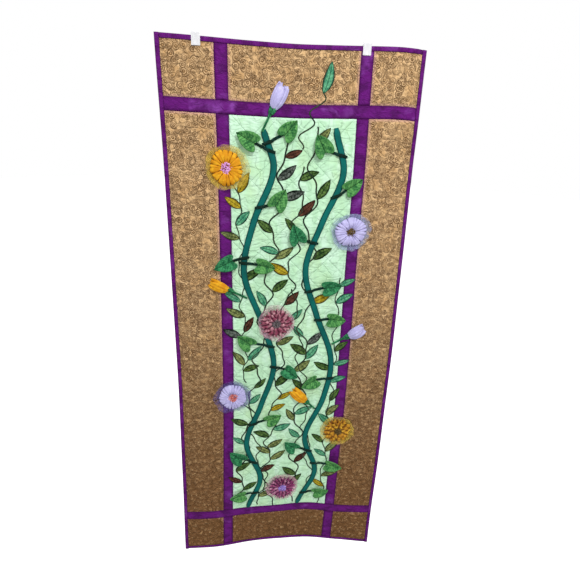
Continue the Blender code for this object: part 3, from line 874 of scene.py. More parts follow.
@ready
def sheer_net(name, kind):
    """Sheer net: open between its threads, closer where it is gathered."""
    look = Finish(name, 0.6, NETS[kind], 0.1)
    tree = look.tree
    look.lay(tuple(min(1.0, 1.3 * value) for value in NETS[kind]), look.clouds(0.02, 0.35, 0.7))
    threads = use(tree, "net threads", Vector=look.laid, Pitch=0.0014).outputs["Mask"]
    thick = scaled(tree, look.mark, 0.17, 0.03)
    feed(tree, look.shader.inputs["Alpha"], scaled(tree, threads, 0.17, thick))
    look.bump(threads, 0.0002)
    return look.material


@ready
def tuft_thread(name, kind):
    """Soft thread in two shades."""
    dark, light = TUFTS[kind]
    look = Finish(name, 0.8, dark)
    look.lay(light, look.clouds(0.0035, 0.40, 0.62))
    look.bump(look.grain(900.0), 0.0003)
    return look.material


@ready
def moulded_white(name):
    """Plain white moulded plastic, a little scuffed."""
    look = Finish(name, 0.32, bpy.context.scene.hanging_colours.clip, 0.0, 0.5)
    scuffs = look.clouds(0.004, 0.50, 0.75)
    look.lay(SCUFFED, scuffs, 0.25)
    feed(look.tree, look.shader.inputs["Roughness"], scaled(look.tree, scuffs, 0.18, 0.30))
    look.bump(look.grain(500.0), 0.00008)
    return look.material


FRONTS = {"print": ring_print, "wash": washed_mint, "dyed": dyed_purple}


# The quilt and its bound edge

def corner_order(face):
    """A number that depends only on which points a face joins."""
    corners = [vertex.index for vertex in face.verts]
    return min(corners) * 1e6 + sum(corners)


def slab(name, sides, step, faces, materials):
    """A closed sheet over part of the quilt: faces gives (front, back, line, mark) at a place."""
    left, right, top, bottom = sides
    inset = FOLD + CLEAR
    left, right = max(left, inset - WIDTH / 2), min(right, WIDTH / 2 - inset)
    top, bottom = max(top, inset), min(bottom, HEIGHT - inset)
    bm = start()
    bm.verts.layers.float.new("line")
    bmesh.ops.create_grid(bm, x_segments=max(3, round((right - left) / step)),
                          y_segments=max(3, round((bottom - top) / step)), size=0.5)
    sewn = bmesh.ops.extrude_face_region(bm, geom=bm.faces[:], use_keep_orig=True)
    for item in sewn["geom"]:
        if isinstance(item, bmesh.types.BMVert):
            item.co.z = 1.0
    # Extruding lists its faces in no fixed order
    bm.verts.index_update()
    bm.faces.sort(key=corner_order)
    flat, shade = bm.verts.layers.float_vector["laid"], bm.verts.layers.float["mark"]
    stitched = bm.verts.layers.float["line"]
    known = {}
    for vertex in bm.verts:
        x, y, behind = vertex.co
        if (x, y) not in known:
            across, down = left + (x + 0.5) * (right - left), top + (y + 0.5) * (bottom - top)
            known[x, y] = (across, down, *faces(across, down))
        across, down, front, back, line, mark = known[x, y]
        vertex[flat], vertex[shade], vertex[stitched] = (across, -down, 0.0), mark, line
        vertex.co = cloth(across, down, back if behind > 0.5 else front)
    made = piece(name, bm, materials, ["quilt"])


def sew_patch(name, kind, sides, sizes):
    def faces(across, down):
        out, line, near = front_of(kind, sides, across, down, sizes.stipple)
        return out, out - CLOTH_THICK, line, near
    slab(name, sides, sizes.patch_step, faces, [FRONTS[kind]()])


def sew_backing(sizes):
    under = SEAM_OUT - CLOTH_THICK - 0.0002

    def faces(across, down):
        kind, sides = patch_at(across, down)
        front, line, _ = front_of(kind, sides, across, down, sizes.stipple)
        return min(under, front - CLOTH_THICK), -STITCHED - 0.35 * (front - SEAM_OUT), line, 0.0
    whole = (-WIDTH / 2, WIDTH / 2, 0.0, HEIGHT)
    slab("backing", whole, 2.6 * sizes.patch_step, faces, [plain_backing()])


# (share of the width in from the edge, share of the half thickness out) round a binding strip
BINDING_FORM = ((1.00, 0.74), (0.93, 0.96), (0.76, 1.06), (0.52, 1.10), (0.30, 1.05), (0.13, 0.84),
                (0.03, 0.45), (0.0, 0.0), (0.03, -0.45), (0.13, -0.84), (0.30, -1.05), (0.52, -1.08),
                (0.76, -1.04), (0.93, -0.96), (1.00, -0.74), (0.95, -0.69), (0.50, -0.69),
                (0.10, -0.60), (0.10, 0.60), (0.50, 0.69), (0.95, 0.69))


def bind_edge(name, node, length, place, step):
    """A folded strip along one edge; place turns (inward, along) into (across, down)."""
    half = STITCHED + CLEAR + FOLD
    rows = []
    for along in steps(0.0, length, round(length / step)):
        spot = Vector((along / PUCKER_PITCH, 3.0 * len(name), 0.0))
        pucker = noise.noise(spot)
        edge = 1.0 + 0.035 * noise.noise(spot * 0.6)
        # The mark rises towards both folded edges of the strip, where the purple finish paints shade
        rows.append([(cloth(*place(inward * edge * BINDING, along),
                            out * half * (1 + 0.09 * pucker * soft(inward, 0.2, 0.9))),
                      (inward * BINDING, along), 0.75 * soft(abs(2 * inward - 1), 0.68, 1.0))
                     for inward, out in BINDING_FORM])
    bm = start()
    skin(bm, rows)
    made = piece(name, bm, [dyed_purple()], [node])


# Vines, stems and stuffed leaves

def lay_vine(name, rows, sizes):
    """A vine of folded tape, turned under and narrower at its two ends."""
    top, foot = rows[0][0], rows[-1][0]
    path = []
    for down in steps(top, foot, round((foot - top) / sizes.tape_step)):
        wave = noise.noise(Vector((down * 60, 9.0 * rows[0][1], 0)))
        turned = 0.62 + 0.38 * soft(min(down - top, foot - down), 0.0, 0.012)
        path.append((between(rows, down), down, TRIM - SUNK, VINE_WIDTH * turned * (1 + 0.05 * wave),
                     (VINE_RISE + SUNK) * (1 + 0.10 * wave) * turned))
    bm = start()
    length = tape(bm, path, dome(12))
    made = piece(f"tape_{name}", bm, [folded_tape()], [name])


def solids_of(kind, name):
    """The solid that a leaf's piece replaces, for a leaf that has one."""
    return [f"{kind}_{name}"] if any(name == row[0] for row in LEAVES) else []


def leaf_stem(name, vine, down, side, reach, rise):
    """The padded stem of one leaf, sewn over its vine."""
    middle, half = between(VINES[vine], down), VINE_WIDTH / 2
    # (distance from the middle of the vine, share of the rise, seat, share of the width)
    route = ((-1.5 * half, -0.2, OVER_VINE - 0.3 * VINE_RISE, 0.7), (-1.1 * half, -0.15, OVER_VINE, 0.9),
             (0.0, 0.0, OVER_VINE, 1.05), (1.1 * half, 0.15, OVER_VINE, 1.0), (2.0 * half, 0.4, TRIM, 0.9),
             (reach, 1.0, TRIM, 0.75))
    path = []
    for far in steps(route[0][0], reach, 26):
        share, seat, wide = (between(column(route, k), far) for k in (1, 2, 3))
        knot = 1 + 0.12 * noise.noise(Vector((far * 160, down * 50, 0)))
        path.append((middle + side * far, down - share * rise, seat, STEM_WIDTH * wide * knot,
                     STEM_RISE * (0.85 + 0.25 * knot)))
    bm = start()
    tape(bm, path, dome(9))
    made = piece(f"padded_stem_{name}", bm, [night_print()], solids_of("stem", name))


def stuffed_leaf(name, across, down, heading, length, width, curl):
    """A cupped leaf of two layers, stitched down along its rib and side veins."""
    foot = heading_frame(across, down, heading)(-LEAF_OVER * length, 0.0)
    place = heading_frame(*foot, heading)
    seat = ON_STEM + LEAF_THICK / 2
    sides = steps(-1.0, 1.0, 18)
    # (layer, side) round the leaf: over its front and back behind it
    section = [(1, s) for s in sides] + [(-1, s) for s in reversed(sides[1:-1])]
    rows = []
    for along in steps(0.0, 1.0, 30):
        back, spread, lift = (between(column(LEAF_FORM, k), along) for k in (1, 2, 3))
        row = []
        for layer, s in section:
            aside = s * spread * width / 2
            ahead = (along - back * abs(s) ** 1.4) * length
            rim = soft(abs(s), 0.80, 0.96)
            veins = math.sin((ahead - VEIN_SLOPE * abs(aside)) * math.tau / VEIN_PITCH)
            vein = max(1 - soft(abs(aside), 0.0004, 0.0018), 0.6 * soft(veins, 0.6, 1.0))
            puff = 0.0021 * (1 - vein) * (1 - rim) + 0.0005 * rim
            cup = LEAF_CUP * abs(aside) * (0.8 + 0.4 * abs(s)) + curl * aside * ahead / length
            out = seat + lift * length + cup + layer * (0.3 + 0.2 * (1 - rim)) * LEAF_THICK
            row.append((cloth(*place(ahead, aside), out + (puff if layer > 0 else 0.0)), (aside, ahead), rim))
        rows.append(row)
    bm = start()
    skin(bm, rows)
    kind = "fern" if int(name) % 3 == 0 else "green"
    made = piece(f"stuffed_leaf_{name}", bm, [leaf_cloth(kind)], solids_of("leaf", name))


# Flat leaves and stitched stems

def stem_place(stem, share):
    """(across, down) at a share of the way down a stitched stem."""
    top_across, top_down, foot_across, foot_down, swing, bends, begin, _ = stem
    turn = math.pi * bends * share
    wave = math.sin(turn + begin) + 0.35 * math.sin(2.3 * math.pi * bends * share + 2 * begin)
    return (top_across + (foot_across - top_across) * share + swing * wave * min(1.0, 6 * share + 0.3),
            top_down + (foot_down - top_down) * share)


def stitched_stem(bm, places, width):
    """A raised line of satin stitches that follows the quilted front."""
    path = [(across, down, surface(across, down) + 0.0001, width, 0.0011) for across, down in places]
    tape(bm, path, ((-0.5, 0.0), (-0.38, 0.65), (0.0, 1.0), (0.38, 0.65), (0.5, 0.0), (0.0, -0.5)))


def flat_leaf(bm, across, down, heading, length, width, bow):
    """A leaf cut from printed cloth, its edge corded with satin stitches."""
    place = heading_frame(across, down, heading)
    # (layer, side) round the leaf: over its front and back under it
    section = [(1, s) for s in steps(-1.0, 1.0, 12)] + [(0, 0.6), (0, -0.6)]
    rows = []
    for along in steps(0.0, 1.0, 16):
        spread = math.sin(math.pi * min(1.0, 0.015 + 0.97 * along ** 0.86)) ** 0.85
        row = []
        for layer, s in section:
            aside = s * spread * width / 2
            at = place(along * length, aside + bow * width * math.sin(math.pi * along))
            rim = max(soft(abs(s), 0.56, 0.80), soft(abs(2 * along - 1), 0.84, 0.96))
            lift = layer * (0.0006 + 0.0006 * rim - 0.0004 * soft(abs(s), 0.98, 1.0))
            row.append((cloth(*at, surface(*at) + lift), (aside, along * length), rim))
        rows.append(row)
    skin(bm, rows)


def leaf_spots(dice):
    """Places for the flat leaves along the stitched stems, clear of what is sewn on:
    (stem, share down it, heading, length, width, print)."""
    taken = [(across, down, 0.056) for _, across, down, *_ in FLOWERS]
    for _, vine, down, side, reach, rise, *_ in (*LEAVES, *MORE_LEAVES):
        taken.append((between(VINES[vine], down) + side * (reach + 0.012), down - rise, 0.040))
    for _, vine, down, side, *_ in BUDS:
        taken.append((between(VINES[vine], down) + 0.045 * side, down - 0.04, 0.036))
    spots = []
    for stem in STEMS:
        share, side = 0.03, dice.choice((-1, 1))
        while share < 0.97:
            across, down = stem_place(stem, share)
            for way in (side, -side):
                heading = way * dice.uniform(28, 74)
                length = dice.uniform(0.050, 0.064)
                tip = heading_frame(across, down, heading)(0.55 * length, 0.0)
                vines = min(abs(tip[0] - between(rows, tip[1])) for rows in VINES.values())
                near = min(math.dist(tip, spot[:2]) - spot[2] for spot in taken)
                if vines > 0.026 and near > 0.0 and abs(tip[0]) < MIDDLE_HALF + 0.012:
                    taken.append((*tip, 0.047))
                    spots.append((stem, share, heading, length, dice.uniform(0.38, 0.46) * length,
                                  dice.choice(LEAF_PRINTS)))
                    side = -way
                    break
            share += dice.uniform(0.012, 0.030)
    return spots


# Gathered flowers and buds

def fold_at(angle, pleats, begin):
    """How near a pleat's ridge an angle lies, from 0 down in the fold to 1."""
    wander = 0.16 * math.sin(3 * angle + begin) + 0.10 * math.sin(7 * angle + 2 * begin)
    return abs(math.cos(0.5 * pleats * angle + wander * 2.2)) ** 0.6


# (inner radius, outer radius, height, lift, wave, pleats, start) of each frill: the radii are
# shares of the puff's own, and the pleats a share of the flower's
FRILLS = ((0.20, 1.00, 0.0006, 0.0060, 0.0060, 1.1, 0.0), (0.16, 0.80, 0.0028, 0.0076, 0.0054, 0.9, 1.9),
          (0.10, 0.56, 0.0046, 0.0085, 0.0042, 0.6, 3.7))
# (share of the puff's radius, height, loops, half the thread's thickness) of each tuft
BIG_TUFT = (0.34, 0.0074, 54, 0.0012)
SMALL_TUFT = (0.29, 0.0060, 58, 0.0009)
# (even place, share of the radius, share of the rise, depth of the pleats) from the back
# round to the middle
ROUND_FORM = ((0.0, 0.50, 0.02, 0.0), (0.16, 0.86, 0.03, 0.3), (0.26, 0.97, 0.18, 0.9),
              (0.34, 1.0, 0.40, 1.0), (0.42, 0.98, 0.62, 1.0), (0.50, 0.92, 0.80, 0.9),
              (0.58, 0.82, 0.92, 0.7), (0.66, 0.69, 1.00, 0.6), (0.74, 0.54, 1.02, 0.8),
              (0.82, 0.40, 0.94, 1.0), (0.90, 0.28, 0.72, 1.0), (1.0, 0.10, 0.46, 0.4))


def gathered_round(bm, across, down, base, pleats, begin):
    """A stuffed round of cloth drawn in to its middle in pleats."""
    count = 10 * pleats
    rows = []
    for share in steps(0.0, 1.0, 34):
        radius, rise, depth = (between(column(ROUND_FORM, k), share) for k in (1, 2, 3))
        row = []
        for k in range(count):
            a = math.tau * k / count
            fold = fold_at(a, pleats, begin)
            slump = 1 + 0.05 * math.sin(2 * a + begin) + 0.03 * math.sin(5 * a - begin)
            loose = noise.noise(Vector((2.2 * math.sin(a), 2.2 * math.cos(a), begin + 3 * share)))
            drawn = noise.noise(Vector((5 * math.sin(a), 5 * math.cos(a), begin + 1.6 * share)))
            fold = 1 - (1 - fold) * min(1.25, max(0.15, 0.75 + 1.5 * drawn))
            reach = PUFF_RADIUS * radius * (slump - 0.075 * depth * (1 - fold))
            high = PUFF_RISE * (rise * (1 + 0.18 * loose) - 0.30 * depth * (1 - fold) * (rise > 0.1))
            aside, along = reach * math.sin(a), reach * math.cos(a)
            # The mark drops down in the pleats' folds, where the cloth's finish paints shade
            row.append((cloth(across + aside, down - along, base + max(0.0, high)), (aside, along),
                        1 - 1.3 * depth * (1 - fold)))
        rows.append(row)
    skin(bm, rows)


def frill_section(count, half):
    """(share out along a frill, side of the cloth) points out on one face and back on the other."""
    spans = steps(0.0, 1.0, count)
    return [(s, half) for s in spans] + [(s, -half) for s in reversed(spans)]


def ruffle(bm, across, down, inner, outer, base, lift, wave, turns, begin):
    """One gathered frill, standing up in waves round a place."""
    count = 9 * turns
    section = frill_section(6, 1)
    rows = []
    for k in range(count + 1):
        a = math.tau * (k % count) / count
        row = []
        for s, side in section:
            swing = math.sin(turns * a + 1.3 * s + begin + 0.8 * math.sin(3 * a + begin))
            loose = noise.noise(Vector((2.6 * math.sin(a), 2.6 * math.cos(a), begin + s)))
            radius = inner + (outer - inner) * s * (1 + 0.10 * math.cos(2 * turns * a) + 0.16 * loose)
            high = lift * s * (1.25 - 0.6 * s) + wave * s * (0.5 + 0.5 * swing) + 0.0020 * s * loose
            turn = a + 0.22 / turns * math.cos(turns * a + begin) * s
            # The mark is low at the frill's inner edge and in its troughs, where the cloth's finish paints
            # shade
            row.append((cloth(across + radius * math.sin(turn), down - radius * math.cos(turn),
                              base + max(0.0002, high) + side * 0.0003),
                        (radius * math.sin(a), radius * math.cos(a)),
                        0.04 + 0.96 * (0.5 + 0.5 * swing) * soft(s, 0.0, 0.6)))
        rows.append(row)
    skin(bm, rows, ends=False)


def net_frill(bm, across, down, inner, outer, base, begin):
    """Net gathered at its inner edge, its outer edge in loose uneven waves."""
    count = 132
    section = frill_section(7, 0.00015)
    rows = []
    for k in range(count + 1):
        a = math.tau * (k % count) / count
        row = []
        for s, side in section:
            loose = noise.noise(Vector((1.4 * math.sin(a), 1.4 * math.cos(a), begin)))
            radius = inner + (outer - inner) * s * (0.90 + 0.30 * loose + 0.02 * math.sin(11 * a + begin))
            wave = 0.0035 * (1 + math.sin(5 * a + begin)) + 0.0020 * (1 + math.sin(17 * a - begin))
            row.append((cloth(across + radius * math.sin(a), down - radius * math.cos(a),
                              base + 0.0003 + wave * s ** 1.3 + side), (radius * a * 0.6, radius),
                        (0.5 + 0.5 * math.sin(17 * a - begin)) * (1 - 0.5 * s)))
        rows.append(row)
    skin(bm, rows, ends=False)


def thread_loops(bm, across, down, base, radius, height, count, thick, dice):
    """A tuft of small thread loops, crowded in a round."""
    for _ in range(count):
        turn, far = dice.uniform(0, math.tau), radius * math.sqrt(dice.random())
        x, y = across + far * math.sin(turn), down + far * math.cos(turn)
        lean, span = dice.uniform(0, math.tau), dice.uniform(0.0022, 0.0038)
        high = height * dice.uniform(0.7, 1.0) * (1 - 0.35 * (far / radius) ** 2)
        rows = []
        for t in steps(0.0, 1.0, 9):
            swing, up = span * math.cos(math.pi * t), high * math.sin(math.pi * t)
            centre = cloth(x + swing * math.sin(lean), y + swing * math.cos(lean), base + up)
            flow = Vector((-math.sin(math.pi * t) * span * math.sin(lean), -math.cos(math.pi * t) * high,
                           math.sin(math.pi * t) * span * math.cos(lean))).normalized()
            aside = flow.cross(Vector((math.cos(lean), 0.0, math.sin(lean)))).normalized()
            over = flow.cross(aside)
            rows.append([(centre + thick * (math.cos(b) * aside + math.sin(b) * over), (0.0, 0.0), 0.0)
                         for b in (math.tau * k / 6 for k in range(6))])
        skin(bm, rows)


def make_flower(name, across, down, seat, form, pleats, net, shade, tuft, dice):
    """One gathered flower: its net, its round of cloth or three frills, and its tuft."""
    begin = 40 * across + 9 * down
    bm = start()
    rings = ((0.55 * PUFF_RADIUS, NET_RADIUS), (0.60 * PUFF_RADIUS, 0.93 * NET_RADIUS))
    for over, (inner, outer) in enumerate(rings):
        net_frill(bm, across, down, inner, outer, seat + 0.0010 * over, begin + 2.0 * over)
    made = piece(f"gathered_net_{name}", bm, [sheer_net(net)], [f"net_{name}"])

    base = seat + NET_THICK + CLEAR
    bm = start()
    if form == "round":
        gathered_round(bm, across, down, base, pleats, begin)
    else:
        for inner, outer, high, lift, wave, share, late in FRILLS:
            ruffle(bm, across, down, inner * PUFF_RADIUS, outer * PUFF_RADIUS, base + high, lift, wave,
                   round(share * pleats), begin + late)
    made = piece(f"gathered_cloth_{name}", bm, [gathered_cloth(shade)],
                 [f"puff_{name}"])

    bm = start()
    nest = base + (0.44 if form == "round" else 0.70) * PUFF_RISE
    radius, height, count, thick = BIG_TUFT if tuft in ("tuft_pink", "tuft_red") else SMALL_TUFT
    thread_loops(bm, across, down, nest, radius * PUFF_RADIUS, height, count, thick, dice)
    piece(f"tuft_of_thread_{name}", bm, [tuft_thread(tuft)], [f"tuft_{name}"])


# (share of the length, share of the half width, share of the height)
BUD_FORM = ((0.0, 0.40, 0.48), (0.10, 0.60, 0.70), (0.28, 0.84, 0.94), (0.48, 0.96, 1.0), (0.68, 0.98, 0.94),
            (0.84, 0.94, 0.80), (0.94, 0.88, 0.68), (1.0, 0.78, 0.56), (0.98, 0.46, 0.42), (0.86, 0.16, 0.30))
# (lengths of the stem, lengths of the calyx, half width, height)
CALYX_FORM = ((0.0, 0.0, 0.0030, 0.0040), (0.45, 0.0, 0.0031, 0.0041), (0.92, 0.0, 0.0033, 0.0044),
              (1.0, 0.10, 0.0046, 0.0056), (1.0, 0.34, 0.0076, 0.0082), (1.0, 0.66, 0.0090, 0.0094),
              (1.0, 1.02, 0.0096, 0.0104), (1.0, 1.04, 0.0070, 0.0080))


def lying_ring(place, along, half_width, low, high, count, shape):
    """A ring round a lying form; shape gives (share of the width, how far ahead, mark) at an angle."""
    ring = []
    for k in range(count):
        a = math.tau * k / count
        wide, ahead, mark = shape(a)
        up = 0.5 - 0.5 * wide * math.cos(a)
        aside = wide * half_width * math.sin(a)
        ring.append((cloth(*place(along + ahead, aside), low + max(0.0, up) * (high - low)),
                     (aside, along + ahead), mark))
    return ring


def furled(a, along, down):
    """The (share of the width, how far ahead, mark) of a rolled bud at an angle."""
    # The mark drops in the bud's folds, where the cloth's finish paints shade
    drop = 1 - fold_at(a, BUD_PLEATS, 9 * down)
    return (1 - 0.17 * drop + 0.06 * math.sin(3 * a + 20 * down),
            0.0050 * along ** 4 * (math.sin(4 * a + 30 * down) + 0.4 * math.sin(9 * a)), 1 - 0.9 * drop)


def rolled_bud(name, vine, down, side, heading, stem, length, width, shade):
    """A closed flower rolled from cloth, in a green calyx on its stem."""
    begin = between(VINES[vine], down) + side * (VINE_WIDTH / 2 + BUD_FOOT)
    place = heading_frame(begin, down - (1 - abs(side)) * BUD_FOOT, heading)
    bm = start()
    rows = []
    # A stem at the end of its vine begins on top of it
    lapped = (1 - abs(side)) * (BUD_FOOT + 0.007)
    _, _, half, height = CALYX_FORM[0]
    for back in steps(lapped, 0.0, 5)[:-1] if lapped else ():
        climb = (OVER_VINE - TRIM) * soft(back, 0.0, 0.004)
        rows.append(lying_ring(place, -back, half * (1 - 0.4 * (back == lapped)), TRIM + climb,
                               TRIM + climb + height, CALYX_SIDES, lambda a: (1.0, 0.0, 0.0)))
    for share in steps(0.0, 1.0, 30):
        stems, cups, half, height = (between(column(CALYX_ROWS, k), share) for k in range(1, 5))
        rows.append(lying_ring(
            place, stems * stem + cups * CALYX_LENGTH, half, TRIM, TRIM + height, CALYX_SIDES,
            lambda a: (1 + 0.10 * cups * math.sin(5 * a), 0.0045 * (cups > 0.9) * math.sin(5 * a + 1), 0.0)))
    skin(bm, rows)
    made = piece(f"folded_calyx_{name}", bm, [leaf_cloth("fern")], [f"calyx_{name}"])

    foot = stem + CALYX_LENGTH + CLEAR - BUD_SUNK
    bm = start()
    rows = []
    for share in steps(0.0, 1.0, 36):
        along, spread, height = (between(column(BUD_ROWS, k), share) for k in (1, 2, 3))
        rows.append(lying_ring(place, foot + along * (length + BUD_SUNK), spread * width / 2, TRIM,
                               TRIM + height * 0.45 * width, BUD_SIDES, lambda a: furled(a, along, down)))
    skin(bm, rows)
    made = piece(f"rolled_bud_{name}", bm, [gathered_cloth(shade)], [f"bud_{name}"])


def numbered(rows):
    """The rows with an even place from 0 to 1 put before each."""
    return tuple((k / (len(rows) - 1), *row) for k, row in enumerate(rows))


BUD_ROWS = numbered(BUD_FORM)
CALYX_ROWS = numbered(CALYX_FORM)


# Clips

def mould_clip(name):
    """A plain white clip: two ribbed jaws joined over the bound edge."""
    low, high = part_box(name)
    middle, wide = (low.x + high.x) / 2, high.x - low.x
    outer = (high.y - low.y) / 2
    grip = STITCHED + CLEAR + FOLD + CLEAR
    top, foot, slot = high.z, low.z, low.z + CLIP_SLOT
    plate = outer - grip
    rows = []
    for share in steps(-0.5, 0.5, 44):
        rib = soft(abs(share), 0.17, 0.20) * (1 - soft(abs(share), 0.33, 0.36))
        end = soft(abs(share), 0.455, 0.5)
        x = middle + share * wide
        thin = plate * (0.30 * (1 - rib) * (1 - soft(abs(share), 0.40, 0.44)) + 0.25 * end)
        lip = 0.0010 * (1 - soft(abs(math.sin(CLIP_TEETH * math.pi * share)), 0.2, 0.8))
        crown = top - 0.0012 * end
        # (out, up) up the outside of a jaw, from its lip to the crown
        side = [(outer - 0.3 * plate, foot + lip + 0.0004 * end), (outer - 0.08 * plate, foot + 0.0007),
                (outer - 0.02 * plate, foot + 0.0022), (outer - thin, foot + 0.0045),
                (outer - thin, foot + 0.0120), (outer - thin, top - 0.0075),
                (outer - 0.1 * plate, top - 0.0050), (outer - 0.05 * plate, top - 0.0020),
                (outer - 0.45 * plate, crown - 0.0006), (outer - 1.3 * plate, crown)]
        # (out, up) down the inside of a jaw, from the slot's roof to its lip
        jaw = [(grip * 0.5, slot), (grip, slot - 0.0010), (grip, foot + 0.006), (grip + 0.0003, foot + lip)]
        around = [(-out, up) for out, up in side] + side[::-1] + jaw[::-1] + [(-out, up) for out, up in jaw]
        rows.append([(Vector((x, out, up)), (share * wide, up), 0.0) for out, up in around])
    bm = start()
    skin(bm, rows)
    made = piece(f"moulded_{name}", bm, [moulded_white()], [name])
    finish = made.modifiers.new("Soft edges", "BEVEL")
    finish.width = 0.0003
    finish.segments = 2
    finish.limit_method = "ANGLE"


# Sizes and colours that a user would change

class HangingSizes(bpy.types.PropertyGroup):
    """How closely the hanging is quilted and modelled"""
    patch_step: FloatProperty(name="Patch step", description="Spacing of the points of the pieced top",
                              default=0.003, min=0.002, subtype="DISTANCE", unit="LENGTH")
    tape_step: FloatProperty(name="Tape step", description="Spacing of the rings along tapes and stems",
                             default=0.006, min=0.002, subtype="DISTANCE", unit="LENGTH")
    stipple: FloatProperty(name="Stippling", description="Width of one turn of the wandering stitches",
                           default=STIPPLE, min=0.006, subtype="DISTANCE", unit="LENGTH")
    leaf_seed: IntProperty(name="Leaf layout", description="Seed of the flat leaves' layout",
                           default=5, min=0)


def hue(name, colour):
    """A colour property with its default."""
    return FloatVectorProperty(name=name, description=f"Colour of the {name.lower()}", subtype="COLOR",
                               size=3, min=0.0, max=1.0, default=colour)


class HangingColours(bpy.types.PropertyGroup):
    """Colours of the cloths, threads and clips, and of the painted shade and highlights on them"""
    panel: hue("Panel ground", (0.620, 0.375, 0.168))
    panel_light: hue("Panel clouds", (0.730, 0.475, 0.235))
    panel_edge: hue("Panel highlights", (0.860, 0.600, 0.340))
    # Painted shade laid over the printed panels towards the hem
    panel_deep: hue("Panel deeper shade", (0.215, 0.102, 0.038))
    # Painted highlight along the printed panels' seams
    panel_seam: hue("Panel seam edge", (0.760, 0.430, 0.340))
    backing: hue("Backing", (0.420, 0.285, 0.155))
    # The printed rings' brown, also used for painted shade in stitched dips and pucker hollows
    print_brown: hue("Printed rings", (0.130, 0.060, 0.019))
    sash: hue("Sashing", (0.125, 0.008, 0.165))
    sash_light: hue("Sashing clouds", (0.230, 0.052, 0.330))
    # Darker dye clouds of the sashing, also painted shade along its seams and the binding's edges
    sash_dark: hue("Sashing shade", (0.055, 0.003, 0.066))
    centre: hue("Centre ground", (0.545, 0.850, 0.570))
    centre_lime: hue("Centre lime wash", (0.560, 0.820, 0.490))
    # Paler wash of the mint, also a painted highlight along its seams
    centre_sky: hue("Centre pale wash", (0.680, 0.950, 0.740))
    centre_thread: hue("Centre thread", (0.160, 0.400, 0.200))
    tape: hue("Vine tape", (0.002, 0.140, 0.120))
    # Darker mottle of the vine and stem cloth, also painted shade at the vine tape's turned edges
    tape_dark: hue("Vine edge", (0.001, 0.040, 0.036))
    stem: hue("Stem cloth", (0.005, 0.018, 0.011))
    stem_olive: hue("Stem olive thread", (0.035, 0.050, 0.018))
    # Pale flecks of the stem cloth, also a painted highlight along each satin strand
    stem_fleck: hue("Stem flecks", (0.070, 0.110, 0.075))
    clip: hue("Clip plastic", (0.720, 0.720, 0.740))


# Operators, one for each group of pieces

class HANGING_OT_top(bpy.types.Operator):
    """Sew the pieced top: printed panels, purple sashing and the mint centre"""
    bl_idname = "hanging.top"
    bl_label = "Pieced top"
    bl_options = {"REGISTER", "UNDO"}

    def execute(self, context):
        noise.seed_set(STITCH_SEED)
        sizes = context.scene.hanging_sizes
        for name, kind, *edges in PATCHES:
            sew_patch(name, kind, patch_sides(*edges), sizes)
        return {"FINISHED"}


class HANGING_OT_backing(bpy.types.Operator):
    """Lay the batting and backing behind the top"""
    bl_idname = "hanging.backing"
    bl_label = "Backing"
    bl_options = {"REGISTER", "UNDO"}

    def execute(self, context):
        noise.seed_set(STITCH_SEED)
        sew_backing(context.scene.hanging_sizes)
        return {"FINISHED"}


class HANGING_OT_binding(bpy.types.Operator):
    """Fold a purple strip over each edge"""
    bl_idname = "hanging.binding"
    bl_label = "Binding"
    bl_options = {"REGISTER", "UNDO"}

    def execute(self, context):
        sizes = context.scene.hanging_sizes
        end = WIDTH / 2 - BINDING - CLEAR
        edges = (
            ("left", HEIGHT, lambda inward, along: (inward - WIDTH / 2, along)),
            ("right", HEIGHT, lambda inward, along: (WIDTH / 2 - inward, along)),
            ("top", 2 * end, lambda inward, along: (along - end, inward)),
            ("bottom", 2 * end, lambda inward, along: (along - end, HEIGHT - inward)))
        for name, length, place in edges:
            bind_edge(f"bound_edge_{name}", f"binding_{name}", length, place, sizes.tape_step)
        return {"FINISHED"}


class HANGING_OT_vines(bpy.types.Operator):
    """Lay the two vines of bias tape"""
    bl_idname = "hanging.vines"
    bl_label = "Vines"
    bl_options = {"REGISTER", "UNDO"}

    def execute(self, context):
        sizes = context.scene.hanging_sizes
        for name, rows in VINES.items():
            lay_vine(name, rows, sizes)
        return {"FINISHED"}


class HANGING_OT_leaves(bpy.types.Operator):
    """Sew on the stuffed leaves and their padded stems"""
    bl_idname = "hanging.leaves"
    bl_label = "Stuffed leaves"
    bl_options = {"REGISTER", "UNDO"}

    def execute(self, context):
        for name, vine, down, side, reach, rise, heading, length, width in (*LEAVES, *MORE_LEAVES):
            leaf_stem(name, vine, down, side, reach, rise)
            curl = 0.10 * math.sin(2.6 * int(name))
            stuffed_leaf(name, between(VINES[vine], down) + side * reach, down - rise, heading,
                         length, width, curl)
        return {"FINISHED"}


